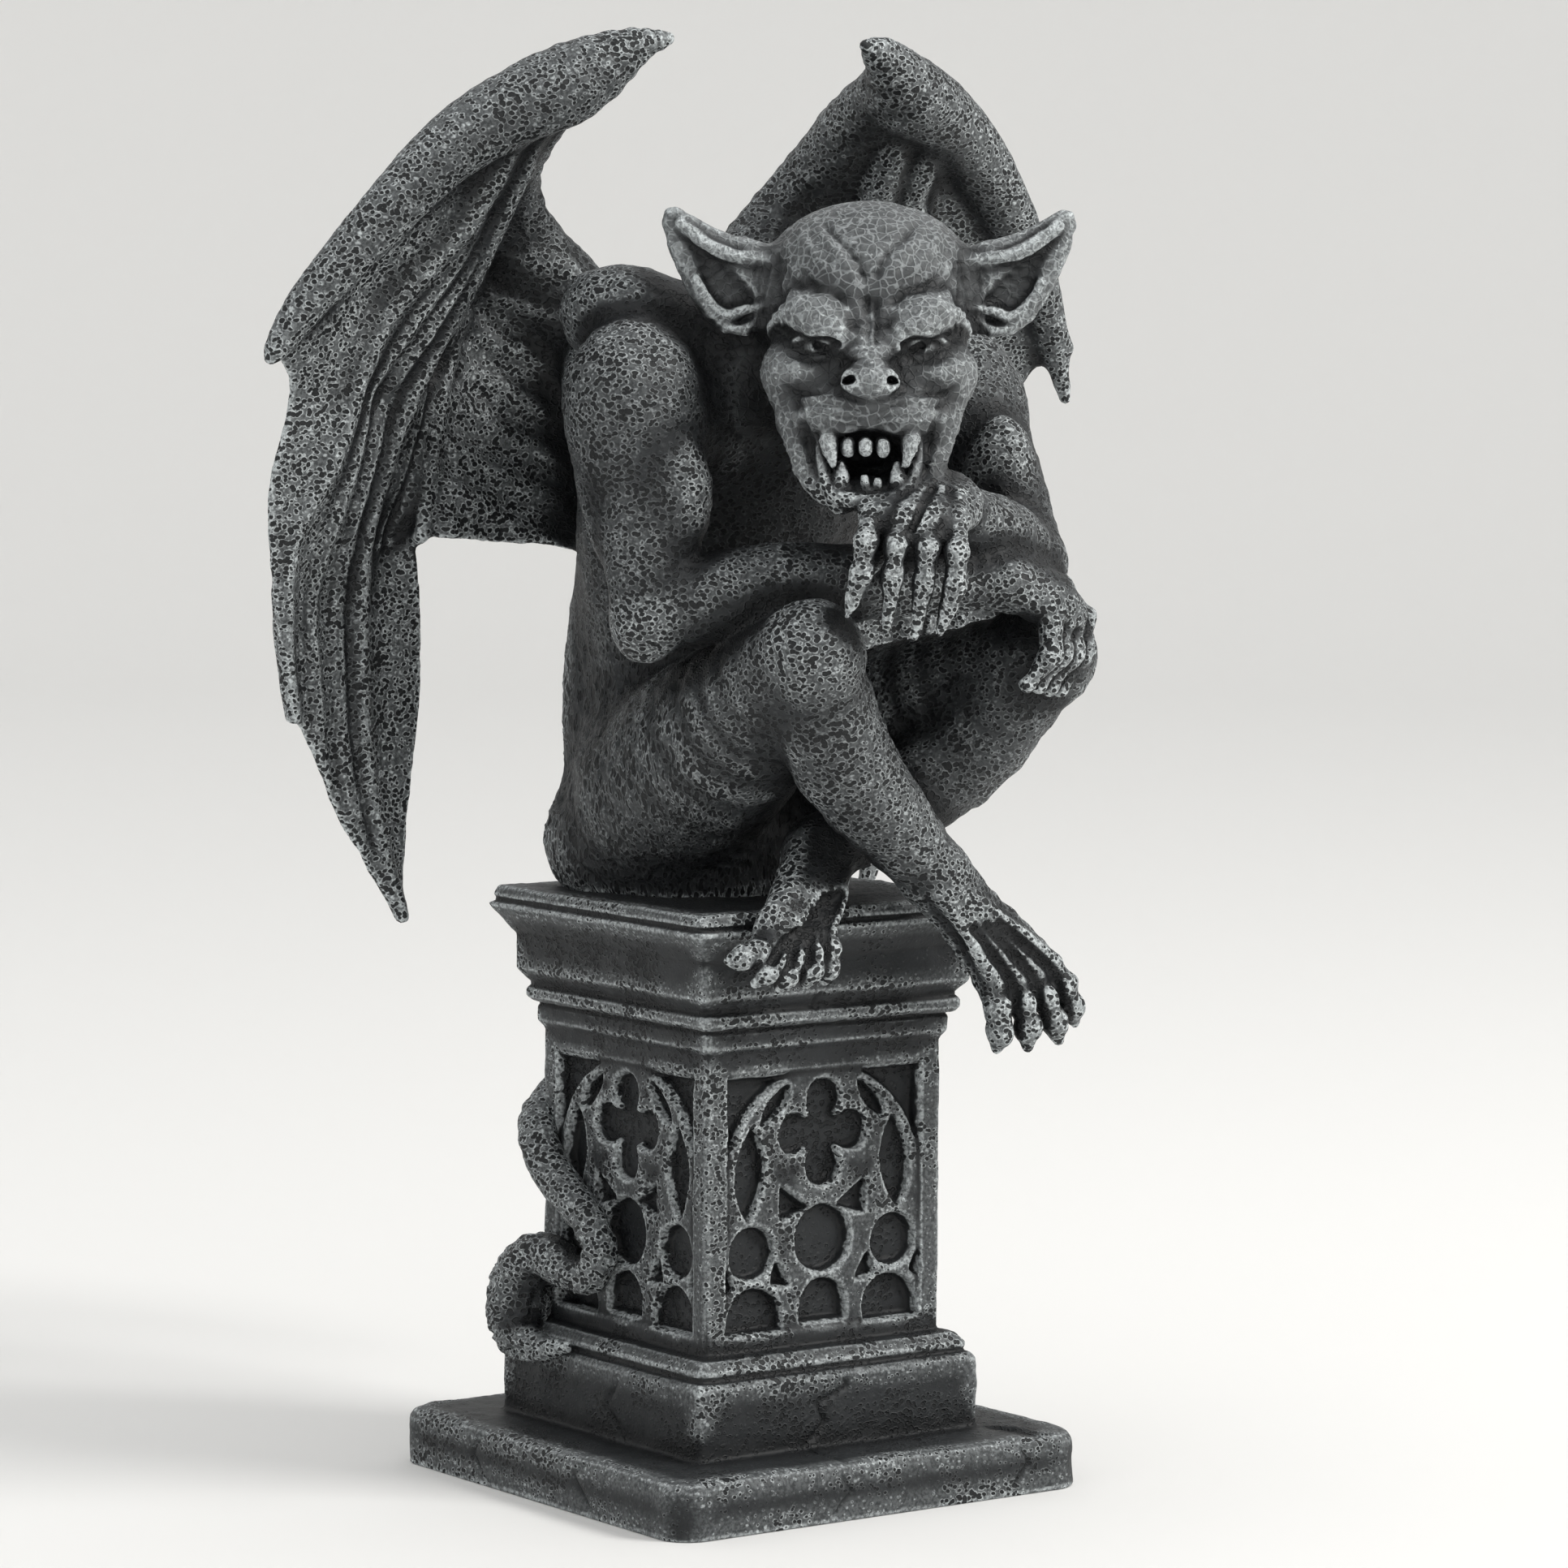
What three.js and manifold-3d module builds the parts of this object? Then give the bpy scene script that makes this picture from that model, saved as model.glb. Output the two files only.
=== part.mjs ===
// A winged gargoyle seated with crossed legs on a square gothic plinth, a cast statue about 300 mm tall.
// Millimetres, +Z up. The origin is the centre of the plinth's underside, and the figure looks towards -Y.
// The figure's right side is at -X. Its head is turned towards its right shoulder.
import * as THREE from 'three';
import Module from 'manifold-3d';
import { mergeVertices } from 'three/addons/utils/BufferGeometryUtils.js';

const wasm = await Module();
wasm.setup();

// Driving dimensions of the plinth. Half widths are measured from the axis to a face.
const SLAB_HALF = 52;
const SLAB_TOP = 12;
const SLAB_CORNER = 7;
const BLOCK_HALF = 36;
const BLOCK_TOP = 27.7;
const TORUS_HALF = 34.3;
const TORUS_TOP = 32;
const SHAFT_HALF = 30;
const SHAFT_TOP = 93.5;
const NECK_HALF = 31.2;
const RING_HALF = 33;
const RING_TOP = 103.3;
const FRIEZE_HALF = 34.4;
const FRIEZE_TOP = 113.6;
const CAP_HALF = 38.7;
const CAP_TOP = 123.4;
const EDGE_CORNER = 1.4;

// Driving dimensions of the blind tracery, on each face of the shaft.
const PANEL_HALF = 25;
const PANEL_DEPTH = 0.9;
const TRACERY_DEPTH = 3.4;
const PANEL_BOTTOM = 35.4;
const ARCH_SPRING = 64.5;
const ARCH_RADIUS = 25;

// Clearance between the two castings.
const GAP = 0.3;

// Driving dimensions of the figure's joints: places in space and radii.
const HIP_R = [-16, 4.5, 145];
const HIP_L = [16, 4.5, 145];
const KNEE_R = [-24, -55, 176];
const KNEE_L = [38.5, -51, 174];
const ANKLE_R = [13, -49, 130];
const ANKLE_L = [-5, -33, 134];
const SHOULDER_R = [-41, -19, 229];
const SHOULDER_L = [40, -20, 227];
const ELBOW_R = [-42, -27, 184];
const ELBOW_L = [38, -46, 193];
const WRIST_R = [22, -60, 190];
const WRIST_L = [6, -60, 206];
const HEAD = [-1.9, -44.6, 237];
const HEAD_TURN = THREE.MathUtils.degToRad(-36);

// Radii of the limbs.
const THIGH = { hip: 19, upper: 18.7, lower: 13.7, knee: 10.7 };
const SHIN = { knee: 10, calf: 10.6, ankle: 6.7 };
const ARM = { shoulder: 11, elbow: 8.2, forearm: 8.8, wrist: 5.4 };
const FINGER = 2.7;
const THUMB = 2.9;
const TOE = 3;

// Turns a closed geometry into a solid that can be joined and cut.
function solid(geometry) {
  const bare = geometry.index ? geometry : geometry.clone();
  bare.deleteAttribute('normal');
  bare.deleteAttribute('uv');
  const merged = mergeVertices(bare, 1e-4);
  const vertProperties = new Float32Array(merged.attributes.position.array);
  const triVerts = new Uint32Array(merged.index.array);
  return new wasm.Manifold(new wasm.Mesh({ numProp: 3, vertProperties, triVerts }));
}

// Joins a list of solids into one.
function joined(solids) {
  return solids.reduce((sum, next) => sum.add(next));
}

// Turns a solid back into a named mesh of the scene.
function meshOf(body, name, material) {
  const data = body.getMesh();
  const geometry = new THREE.BufferGeometry();
  geometry.setAttribute('position', new THREE.BufferAttribute(new Float32Array(data.vertProperties), 3));
  geometry.setIndex(new THREE.BufferAttribute(new Uint32Array(data.triVerts), 1));
  geometry.computeVertexNormals();
  const mesh = new THREE.Mesh(geometry, material);
  mesh.name = name;
  return mesh;
}

// Builds a closed skin from rings of points, listed from the bottom up and anticlockwise seen from the top.
function ringSkin(rings) {
  const sides = rings[0].length;
  const points = rings.flat();
  const first = points.length;
  points.push(centreOf(rings[0]), centreOf(rings[rings.length - 1]));
  const faces = [];
  for (let i = 0; i < rings.length - 1; i += 1) {
    for (let j = 0; j < sides; j += 1) {
      const a = i * sides + j;
      const b = i * sides + ((j + 1) % sides);
      faces.push(a, b, b + sides, a, b + sides, a + sides);
    }
  }
  const last = (rings.length - 1) * sides;
  for (let j = 0; j < sides; j += 1) {
    const k = (j + 1) % sides;
    faces.push(first, k, j, first + 1, last + j, last + k);
  }
  return skin(points, faces);
}

function skin(points, faces) {
  const geometry = new THREE.BufferGeometry();
  const places = points.flatMap((p) => p.toArray());
  geometry.setAttribute('position', new THREE.Float32BufferAttribute(places, 3));
  geometry.setIndex(faces);
  return geometry;
}

function centreOf(ring) {
  return ring.reduce((sum, p) => sum.add(p), new THREE.Vector3()).divideScalar(ring.length);
}

function vec(p) {
  return new THREE.Vector3(...p);
}

// A limb: a round or oval section swept along a smooth curve through the given stations.
// Each station is [x, y, z, half width, half thickness]. The width lies across the plane of "up".
function limb(stations, { sides = 8, rings = 8, up = [0, 0, 1], blunt = 0.55 } = {}) {
  const curve = new THREE.CatmullRomCurve3(stations.map((s) => vec(s.slice(0, 3))), false, 'centripetal');
  const upward = vec(up);
  const last = stations.length - 1;
  const sections = [];
  for (let i = 0; i <= rings; i += 1) {
    const t = i / rings;
    const at = t * last;
    const k = Math.min(Math.floor(at), last - 1);
    const mix = THREE.MathUtils.smoothstep(at - k, 0, 1);
    const [wideHere, thickHere = wideHere] = stations[k].slice(3);
    const [wideNext, thickNext = wideNext] = stations[k + 1].slice(3);
    const wide = THREE.MathUtils.lerp(wideHere, wideNext, mix);
    const thick = THREE.MathUtils.lerp(thickHere, thickNext, mix);
    const centre = curve.getPoint(t);
    const along = curve.getTangent(t);
    const across = new THREE.Vector3().crossVectors(upward, along).normalize();
    const over = new THREE.Vector3().crossVectors(along, across);
    sections.push({ centre, along, across, over, wide, thick });
  }
  const ring = (s, scale, shift) => {
    const points = [];
    for (let j = 0; j < sides; j += 1) {
      const angle = (2 * Math.PI * j) / sides;
      points.push(s.centre.clone()
        .addScaledVector(s.along, shift)
        .addScaledVector(s.across, Math.cos(angle) * s.wide * scale)
        .addScaledVector(s.over, Math.sin(angle) * s.thick * scale));
    }
    return points;
  };
  const list = sections.map((s) => ring(s, 1, 0));
  const start = sections[0];
  const end = sections[rings];
  if (blunt > 0) {
    list.unshift(ring(start, 0.55, -blunt * Math.min(start.wide, start.thick)));
    list.push(ring(end, 0.55, blunt * Math.min(end.wide, end.thick)));
  }
  return solid(ringSkin(list));
}

// An egg-shaped lump with half axes [x, y, z], turned by Euler angles in degrees.
function lump(centre, half, turn = [0, 0, 0], detail = [8, 6]) {
  const geometry = new THREE.SphereGeometry(1, ...detail);
  geometry.rotateX(Math.PI / 2);
  geometry.scale(...half);
  const angles = turn.map((d) => THREE.MathUtils.degToRad(d));
  geometry.applyMatrix4(new THREE.Matrix4().makeRotationFromEuler(new THREE.Euler(...angles)));
  geometry.translate(...centre);
  return solid(geometry);
}

// PLINTH

// One level of the plinth: a square outline with softened corners.
function squareRing(half, z, corner, steps) {
  const points = [];
  for (let side = 0; side < 4; side += 1) {
    const turn = (side * Math.PI) / 2;
    for (let k = 0; k <= steps; k += 1) {
      const angle = turn + (k / steps) * (Math.PI / 2);
      const inner = half - corner;
      const cx = inner * Math.sign(Math.cos(turn + Math.PI / 4));
      const cy = inner * Math.sign(Math.sin(turn + Math.PI / 4));
      points.push(new THREE.Vector3(cx + corner * Math.cos(angle), cy + corner * Math.sin(angle), z));
    }
  }
  return points;
}

// A stack of levels, each [half width, height], as one closed solid.
function squareTurned(levels, corner, steps) {
  return solid(ringSkin(levels.map(([half, z]) => squareRing(half, z, corner, steps))));
}

const SLAB_LEVELS = [
  [SLAB_HALF, 0],
  [SLAB_HALF, SLAB_TOP - 1.8],
  [SLAB_HALF - 1.8, SLAB_TOP],
];

const COLUMN_LEVELS = [
  [BLOCK_HALF, SLAB_TOP - 2],
  [BLOCK_HALF, BLOCK_TOP - 1.2],
  [BLOCK_HALF - 1, BLOCK_TOP],
  [TORUS_HALF - 0.8, BLOCK_TOP + 0.2],
  [TORUS_HALF, BLOCK_TOP + 2],
  [TORUS_HALF - 1.6, TORUS_TOP - 0.3],
  [SHAFT_HALF, TORUS_TOP + 0.3],
  [SHAFT_HALF, SHAFT_TOP],
  [NECK_HALF, SHAFT_TOP + 1.5],
  [NECK_HALF, SHAFT_TOP + 4.6],
  [NECK_HALF - 0.7, SHAFT_TOP + 5.5],
  [RING_HALF - 1, RING_TOP - 4.3],
  [RING_HALF, RING_TOP - 2.4],
  [RING_HALF - 1, RING_TOP - 0.4],
  [FRIEZE_HALF - 1.8, RING_TOP + 0.3],
  [FRIEZE_HALF, RING_TOP + 2.6],
  [FRIEZE_HALF, FRIEZE_TOP - 0.2],
  [FRIEZE_HALF + 0.4, FRIEZE_TOP],
  [CAP_HALF - 0.6, FRIEZE_TOP + 4.6],
  [CAP_HALF, FRIEZE_TOP + 6],
  [CAP_HALF - 1.4, FRIEZE_TOP + 6.8],
  [CAP_HALF - 0.7, CAP_TOP - 2],
  [CAP_HALF - 1.6, CAP_TOP],
];

// Points of an arc in a face of the shaft, with angles in degrees.
function arc(cx, cz, radius, from, to, steps) {
  const points = [];
  for (let k = 0; k <= steps; k += 1) {
    const angle = THREE.MathUtils.degToRad(from + ((to - from) * k) / steps);
    points.push([cx + radius * Math.cos(angle), cz + radius * Math.sin(angle)]);
  }
  return points;
}

function circleHole(cx, cz, radius, sides) {
  return arc(cx, cz, radius, 0, 360 - 360 / sides, sides - 1);
}

// Four round lobes about a centre.
function quatrefoilHole(cx, cz, reach, lobe) {
  const points = [];
  for (let k = 0; k < 4; k += 1) {
    const facing = k * 90;
    const angle = THREE.MathUtils.degToRad(facing);
    const lx = cx + reach * Math.cos(angle);
    const lz = cz + reach * Math.sin(angle);
    points.push(...arc(lx, lz, lobe, facing - 115, facing + 115, 3));
  }
  return points;
}

// A tall opening pointed at both ends.
function lancetHole(cx, cz, half, rise, lean) {
  const points = [];
  const steps = 3;
  for (const side of [1, -1]) {
    for (let k = 0; k < steps; k += 1) {
      const t = (k / steps) * 2 - 1;
      const z = side * t * rise;
      points.push([cx + side * half * (1 - t * t) + lean * z, cz + z]);
    }
  }
  return points;
}

// A flat-bottomed opening with a round head.
function archHole(cx, bottom, top, half) {
  const head = arc(cx, top - half * 0.85, half, 0, 180, 4).map(([x, z]) => [x, Math.min(z, top)]);
  return [[cx - half, bottom], [cx + half, bottom], ...head];
}

// The gap between the round arch and an upper corner of the panel.
function spandrelHole(side) {
  const rim = ARCH_RADIUS + 0.4;
  const edge = PANEL_HALF - 0.9;
  const top = ARCH_SPRING + ARCH_RADIUS - 1.4;
  const inner = Math.sqrt(rim * rim - (top - ARCH_SPRING) ** 2);
  const low = THREE.MathUtils.radToDeg(Math.acos(edge / rim));
  const high = THREE.MathUtils.radToDeg(Math.acos(inner / rim));
  const curve = arc(0, ARCH_SPRING, rim, high, low, 3);
  const points = [[edge, top], ...curve];
  return side > 0 ? points : points.map(([x, z]) => [-x, z]).reverse();
}

// Every opening of one tracery panel, left and right alike.
function traceryHoles() {
  const holes = [
    quatrefoilHole(0, 76, 6.9, 4),
    circleHole(0, 54, 7, 9),
    archHole(0, 37, 45.6, 5.6),
  ];
  for (const side of [1, -1]) {
    holes.push(
      lancetHole(side * 18.6, 68.6, 3.4, 9, -side * 0.06),
      lancetHole(side * 12, 82, 1.6, 3.2, -side * 0.9),
      circleHole(side * 18, 52.2, 5.4, 8),
      archHole(side * 17.3, 36, 44.8, 6.6),
      [[side * 4.4, 60.6], [side * 10.4, 64.8], [side * 10.2, 59]],
      [[side * 9.2, 45.2], [side * 11.6, 49.4], [side * 12.6, 45.8]],
      spandrelHole(side),
    );
  }
  return holes;
}

// Cuts one outline into the face of the shaft to a depth. The face looks towards -Y before it is turned.
function sunkIntoFace(outline, depth) {
  const shape = new THREE.Shape(outline.map(([x, z]) => new THREE.Vector2(x, z)));
  const proud = 1;
  const straight = { depth: depth + proud, bevelEnabled: false, curveSegments: 1 };
  const geometry = new THREE.ExtrudeGeometry(shape, straight);
  geometry.rotateX(Math.PI / 2);
  geometry.translate(0, -SHAFT_HALF + depth, 0);
  return solid(geometry);
}

function plinthSolid() {
  const slab = squareTurned(SLAB_LEVELS, SLAB_CORNER, 3);
  const column = squareTurned(COLUMN_LEVELS, EDGE_CORNER, 1);
  const panel = [
    [-PANEL_HALF, PANEL_BOTTOM],
    [PANEL_HALF, PANEL_BOTTOM],
    [PANEL_HALF, ARCH_SPRING + ARCH_RADIUS],
    [-PANEL_HALF, ARCH_SPRING + ARCH_RADIUS],
  ];
  const holes = traceryHoles().map((hole) => sunkIntoFace(hole, TRACERY_DEPTH));
  const pattern = joined([sunkIntoFace(panel, PANEL_DEPTH), ...holes]);
  let body = slab.add(column);
  for (let face = 0; face < 4; face += 1) {
    body = body.subtract(pattern.rotate(0, 0, face * 90));
  }
  return body;
}

// FIGURE

// The same levels as the plinth, grown by the clearance, to keep the figure off it.
function plinthKeepOut() {
  const grow = ([half, z]) => [half + GAP, z];
  const levels = COLUMN_LEVELS.map(grow);
  levels[0][1] = -GAP;
  levels[levels.length - 1][1] = CAP_TOP + GAP;
  return squareTurned(levels, EDGE_CORNER, 1);
}

// Torso levels: [centre x, centre y, z, half width, half depth].
const TORSO = [
  [0, 11, 121, 25, 22],
  [0, 11, 134, 26, 23],
  [0, 13, 150, 28, 24],
  [0, 14, 168, 26, 22],
  [0, 11, 190, 30, 25],
  [1, 5, 210, 35, 27],
  [1, -3, 228, 38, 27],
  [1, -9, 241, 30, 22],
];

// The neck reaches forward from between the shoulders: [x, y, z, half width, half thickness].
const NECK = [[0, 0, 237, 20, 17], [0, -18, 241, 18, 16], [0, -34, 240, 16, 15]];
const SHOULDER_LUMP = { right: [-30, -3, 242], left: [31, -5, 240], half: [17, 15, 11] };

function torsoSolid() {
  return joined([
    limb(TORSO, { sides: 10, rings: 7, up: [0, -1, 0] }),
    limb(NECK, { sides: 7, rings: 2, up: [1, 0, 0], blunt: 0 }),
    lump(SHOULDER_LUMP.right, SHOULDER_LUMP.half, [0, 25, 20], [7, 5]),
    lump(SHOULDER_LUMP.left, SHOULDER_LUMP.half, [0, -25, -20], [7, 5]),
  ]);
}

// Muscles of an arm: how far each lies from its joint, inward, forward and down, and its half axes.
const DELTOID = { shift: [0, 0, -6], half: [14.5, 14, 19] };
const BICEPS = { shift: [2, -5, -2], half: [7, 8, 11] };
const ELBOW_POINT = { shift: [0, 2, -4], half: [6, 6, 6] };

// One arm: deltoid, upper arm with its biceps, elbow and forearm.
// The bulge lifts the forearm's thickest place.
function armSolid(shoulder, elbow, wrist, side, bulge) {
  const middle = shoulder.map((v, k) => (v + elbow[k]) / 2);
  const forearm = elbow.map((v, k) => v + (wrist[k] - v) * 0.35 + (k === 2 ? bulge : 0));
  const muscle = (from, { shift, half }, turn, detail) => {
    const place = [from[0] - side * shift[0], from[1] + shift[1], from[2] + shift[2]];
    return lump(place, half, turn, detail);
  };
  const upper = [[...shoulder, ARM.shoulder], [...middle, ARM.shoulder], [...elbow, ARM.elbow]];
  const lower = [[...elbow, ARM.elbow], [...forearm, ARM.forearm], [...wrist, ARM.wrist]];
  return joined([
    muscle(shoulder, DELTOID, [0, side * 6, 0], [8, 5]),
    limb(upper, { sides: 7, rings: 2, up: [0, 1, 0], blunt: 0 }),
    muscle(middle, BICEPS, [0, 0, 0], [6, 5]),
    limb(lower, { sides: 7, rings: 3 }),
    muscle(elbow, ELBOW_POINT, [0, 0, 0], [6, 4]),
  ]);
}

// A finger or toe: three bones with swollen joints and a pointed claw.
function digit(points, radius) {
  const [base, first, second, tip] = points;
  return limb([
    [...base, radius * 1.05],
    [...first, radius * 1.12],
    [...second, radius],
    [...tip, radius * 0.3],
  ], { sides: 5, rings: 3, up: [0, 1, 0], blunt: 0 });
}

// The left hand hangs from the wrist under the chin, with the fingers straight down.
const LEFT_PALM = [[...WRIST_L, 6, 5], [0, -66, 206.5, 9, 5.4], [-9, -70, 204, 9, 4.6]];
const LEFT_KNUCKLES = [[-16.8, -66, 204.6, 3.4], [-2.7, -75, 203.1, 3.4]];
const LEFT_TIPS = [[-24, -68, 185], [-17.5, -72, 182], [-12.8, -75, 180.6], [-8.9, -78, 181.8]];
const LEFT_THUMB = [[0, -61, 203], [-8, -61, 199], [-13, -63, 196], [-17, -65, 193]];

function leftHandSolid() {
  const knuckles = limb(LEFT_KNUCKLES, { sides: 6, rings: 1 });
  const parts = [limb(LEFT_PALM, { rings: 2 }), knuckles, digit(LEFT_THUMB, THUMB)];
  LEFT_TIPS.forEach((tip, k) => {
    const knuckle = [-16.8 + 4.7 * k, -66 - 3 * k, 204.6 - 0.5 * k];
    const first = [-21.9 + 5.2 * k, -71 - 3 * k, 199.3 - 0.6 * k];
    const second = [-22.9 + 5.3 * k, -71 - 3 * k, 193.3 - 0.9 * k];
    parts.push(digit([knuckle, first, second, tip], FINGER));
  });
  return joined(parts);
}

// The right hand lies over the left knee, with the fingers bent down its front.
const RIGHT_PALM = [[...WRIST_R, 6, 5], [28, -61, 188.5, 8.5, 5], [33, -59, 186, 9, 4.6]];

function rightHandSolid() {
  const parts = [limb(RIGHT_PALM, { rings: 2 })];
  for (let k = 0; k < 4; k += 1) {
    const x = 26 + 4.6 * k;
    const y = -62 + 2.2 * k;
    const first = [x + 2.4, y - 4.2, 182];
    const second = [x + 1, y - 6, 175.5];
    const tip = [x - 4, y - 5, 169.5 - 0.5 * k];
    parts.push(digit([[x, y, 187.8], first, second, tip], FINGER));
  }
  return joined(parts);
}

// Thigh, kneecap and shin. The pull moves the calf's thickest place off the straight line.
const KNEECAP = { shift: [0, -3, 1], half: [9, 8, 10] };

function legSolid(hip, knee, ankle, calfPull) {
  const along = (t) => hip.map((v, k) => v + (knee[k] - v) * t);
  const calf = knee.map((v, k) => v + (ankle[k] - v) * 0.4 + calfPull[k]);
  const kneecap = knee.map((v, k) => v + KNEECAP.shift[k]);
  const thigh = [
    [...hip, THIGH.hip],
    [...along(0.35), THIGH.upper],
    [...along(0.7), THIGH.lower],
    [...knee, THIGH.knee],
  ];
  const shin = [[...knee, SHIN.knee], [...calf, SHIN.calf], [...ankle, SHIN.ankle]];
  return joined([
    limb(thigh, { sides: 8, rings: 4 }),
    lump(kneecap, KNEECAP.half, [0, 0, 0], [6, 4]),
    limb(shin, { sides: 7, rings: 3, up: [1, 0, 0], blunt: 0 }),
  ]);
}

// A foot hangs over the front edge of the cap. Its toes spread from the ball and end in claws.
const FOOT = { instep: 8, instepThick: 5.4, ball: 10, ballThick: 4.6, spread: 14 };
const BALL_R = [33, -51, 109];
const TOE_TIPS_R = [[26.2, -53, 94], [33.7, -54, 94], [41.4, -54, 95], [47, -52, 98.5]];
const BALL_L = [-20, -45, 119];
const TOE_TIPS_L = [
  [-36, -46, 115.5], [-31, -48, 111], [-25.5, -48, 109.3], [-18.8, -48, 110], [-13, -46, 109.7],
];

function footSolid(ankle, ball, toeTips) {
  const instep = ankle.map((v, k) => (v + ball[k]) / 2);
  const sole = [
    [...ankle, 7, 7],
    [...instep, FOOT.instep, FOOT.instepThick],
    [...ball, FOOT.ball, FOOT.ballThick],
  ];
  const parts = [limb(sole, { sides: 7, rings: 2, up: [0, 1, 0], blunt: 0.3 })];
  toeTips.forEach((tip, k) => {
    const spread = k / (toeTips.length - 1) - 0.5;
    const root = [ball[0] + spread * FOOT.spread, ball[1] + 0.5, ball[2] + spread * 3];
    const first = root.map((v, i) => v + (tip[i] - v) * 0.4 + (i === 1 ? -2.4 : 0));
    const second = root.map((v, i) => v + (tip[i] - v) * 0.75 + (i === 1 ? -1.6 : 0));
    parts.push(digit([root, first, second, tip], TOE));
  });
  return joined(parts);
}

function legsSolid() {
  return joined([
    legSolid(HIP_R, KNEE_R, ANKLE_R, [-2, 3, -3]),
    legSolid(HIP_L, KNEE_L, ANKLE_L, [4, 5, -6]),
    footSolid(ANKLE_R, BALL_R, TOE_TIPS_R),
    footSolid(ANKLE_L, BALL_L, TOE_TIPS_L),
  ]);
}

// WINGS
// Places are [distance from the middle plane, y, z]. The right wing is at -X and the left wing mirrors it.

// The leading edge runs from the thumb claw over the wrist to the first finger's tip.
// A radius ends each station.
const WING_SPAR = [
  [25, -7, 299, 1.2], [32, -4, 297, 4.2], [43, 1, 290, 8],
  [56, 5, 284, 7.6], [69, 9, 275, 6.6], [81, 13, 262, 5.6],
  [91, 17, 250, 4.6], [98, 20, 241, 3.2], [102, 21, 234, 1.2],
];
const WING_ARM = [
  [10, 24, 222, 12], [17, 34, 242, 9.5], [32, 37, 259, 8],
  [40, 31, 272, 7.5], [42, 19, 283, 7.5], [40, 6, 290, 6],
];
// The left wing's last stations hang lower: the full drop at the tip and half of it just before.
const LEFT_TIP_DROP = 9;

// The fingers that the membrane hangs from, outermost first. The last line is where it joins the back.
const FINGERS = [
  [[62, 8, 278], [80, 14, 262], [92, 19, 247], [101, 21, 236]],
  [
    [53, 7, 281], [57, 19, 262], [74, 25, 241], [84, 28, 213],
    [92, 30, 198], [92.5, 32, 178], [90, 33, 161],
  ],
  [
    [46, 10, 282], [50, 26, 254], [62, 33, 226], [71, 37, 195],
    [70, 39, 160], [66, 39, 135], [60.5, 38, 118],
  ],
  [[39, 30, 270], [46, 38, 246], [53, 38, 220], [58, 35, 197]],
  [[24, 31, 250], [20, 37, 226], [18, 36, 210], [15, 32, 193]],
];

// Where the hem of each stretch of membrane ends, between one finger and the next.
const HEMS = [
  [[94, 27, 227], [98.5, 35, 206], [95, 34, 183]],
  [[85, 34, 156], [75, 37, 138]],
  [[57.5, 38, 141], [54.5, 38, 168]],
  [[46, 36, 196], [31, 36, 195]],
];
const MEMBRANE_ROWS = 6;
const MEMBRANE_SAG = 4.5;
const MEMBRANE_HALF = 1.7;
const FINGER_HALF = 3.3;

function smoothCurve(places, side) {
  const points = places.map(([x, y, z]) => new THREE.Vector3(side * x, y, z));
  return new THREE.CatmullRomCurve3(points, false, 'centripetal');
}

// The columns of the membrane, from the outer finger to the back.
// Each has points from top to hem, with the half thickness there.
function membraneColumns(side) {
  const columns = [];
  const steps = Array.from({ length: MEMBRANE_ROWS + 1 }, (_, j) => j / MEMBRANE_ROWS);
  FINGERS.forEach((finger, f) => {
    const here = smoothCurve(finger, side);
    columns.push(steps.map((v) => ({ place: here.getPoint(v), half: FINGER_HALF * (1 - 0.62 * v) })));
    if (f === HEMS.length) return;
    const next = smoothCurve(FINGERS[f + 1], side);
    HEMS[f].forEach((end, k) => {
      const u = (k + 1) / (HEMS[f].length + 1);
      const hem = new THREE.Vector3(side * end[0], end[1], end[2]);
      const pull = hem.sub(here.getPoint(1).lerp(next.getPoint(1), u));
      columns.push(steps.map((v) => {
        const place = here.getPoint(v).lerp(next.getPoint(v), u).addScaledVector(pull, v * v);
        place.y += MEMBRANE_SAG * Math.sin(Math.PI * v) * 4 * u * (1 - u);
        return { place, half: MEMBRANE_HALF };
      }));
    });
  });
  return columns;
}

// The membrane with its fingers standing out of both sides, as one thick sheet.
function membraneSolid(side) {
  const columns = membraneColumns(side);
  const last = columns.length - 1;
  const facing = new THREE.Vector3(-0.36 * side, -0.93, 0);
  const front = [];
  const back = [];
  for (let j = 0; j <= MEMBRANE_ROWS; j += 1) {
    for (let i = 0; i <= last; i += 1) {
      const { place, half } = columns[i][j];
      front.push(place.clone().addScaledVector(facing, half));
      back.push(place.clone().addScaledVector(facing, -half));
    }
  }
  const count = front.length;
  const faces = [];
  const quad = (a, b, c, d) => faces.push(...(side < 0 ? [a, b, c, a, c, d] : [a, c, b, a, d, c]));
  const id = (i, j) => j * (last + 1) + i;
  for (let j = 0; j < MEMBRANE_ROWS; j += 1) {
    for (let i = 0; i < last; i += 1) {
      quad(id(i, j), id(i, j + 1), id(i + 1, j + 1), id(i + 1, j));
      quad(count + id(i + 1, j), count + id(i + 1, j + 1), count + id(i, j + 1), count + id(i, j));
    }
    quad(id(0, j + 1), id(0, j), count + id(0, j), count + id(0, j + 1));
    quad(id(last, j), id(last, j + 1), count + id(last, j + 1), count + id(last, j));
  }
  const hem = MEMBRANE_ROWS;
  for (let i = 0; i < last; i += 1) {
    quad(id(i, 0), id(i + 1, 0), count + id(i + 1, 0), count + id(i, 0));
    quad(id(i + 1, hem), id(i, hem), count + id(i, hem), count + id(i + 1, hem));
  }
  return solid(skin([...front, ...back], faces));
}

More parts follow.
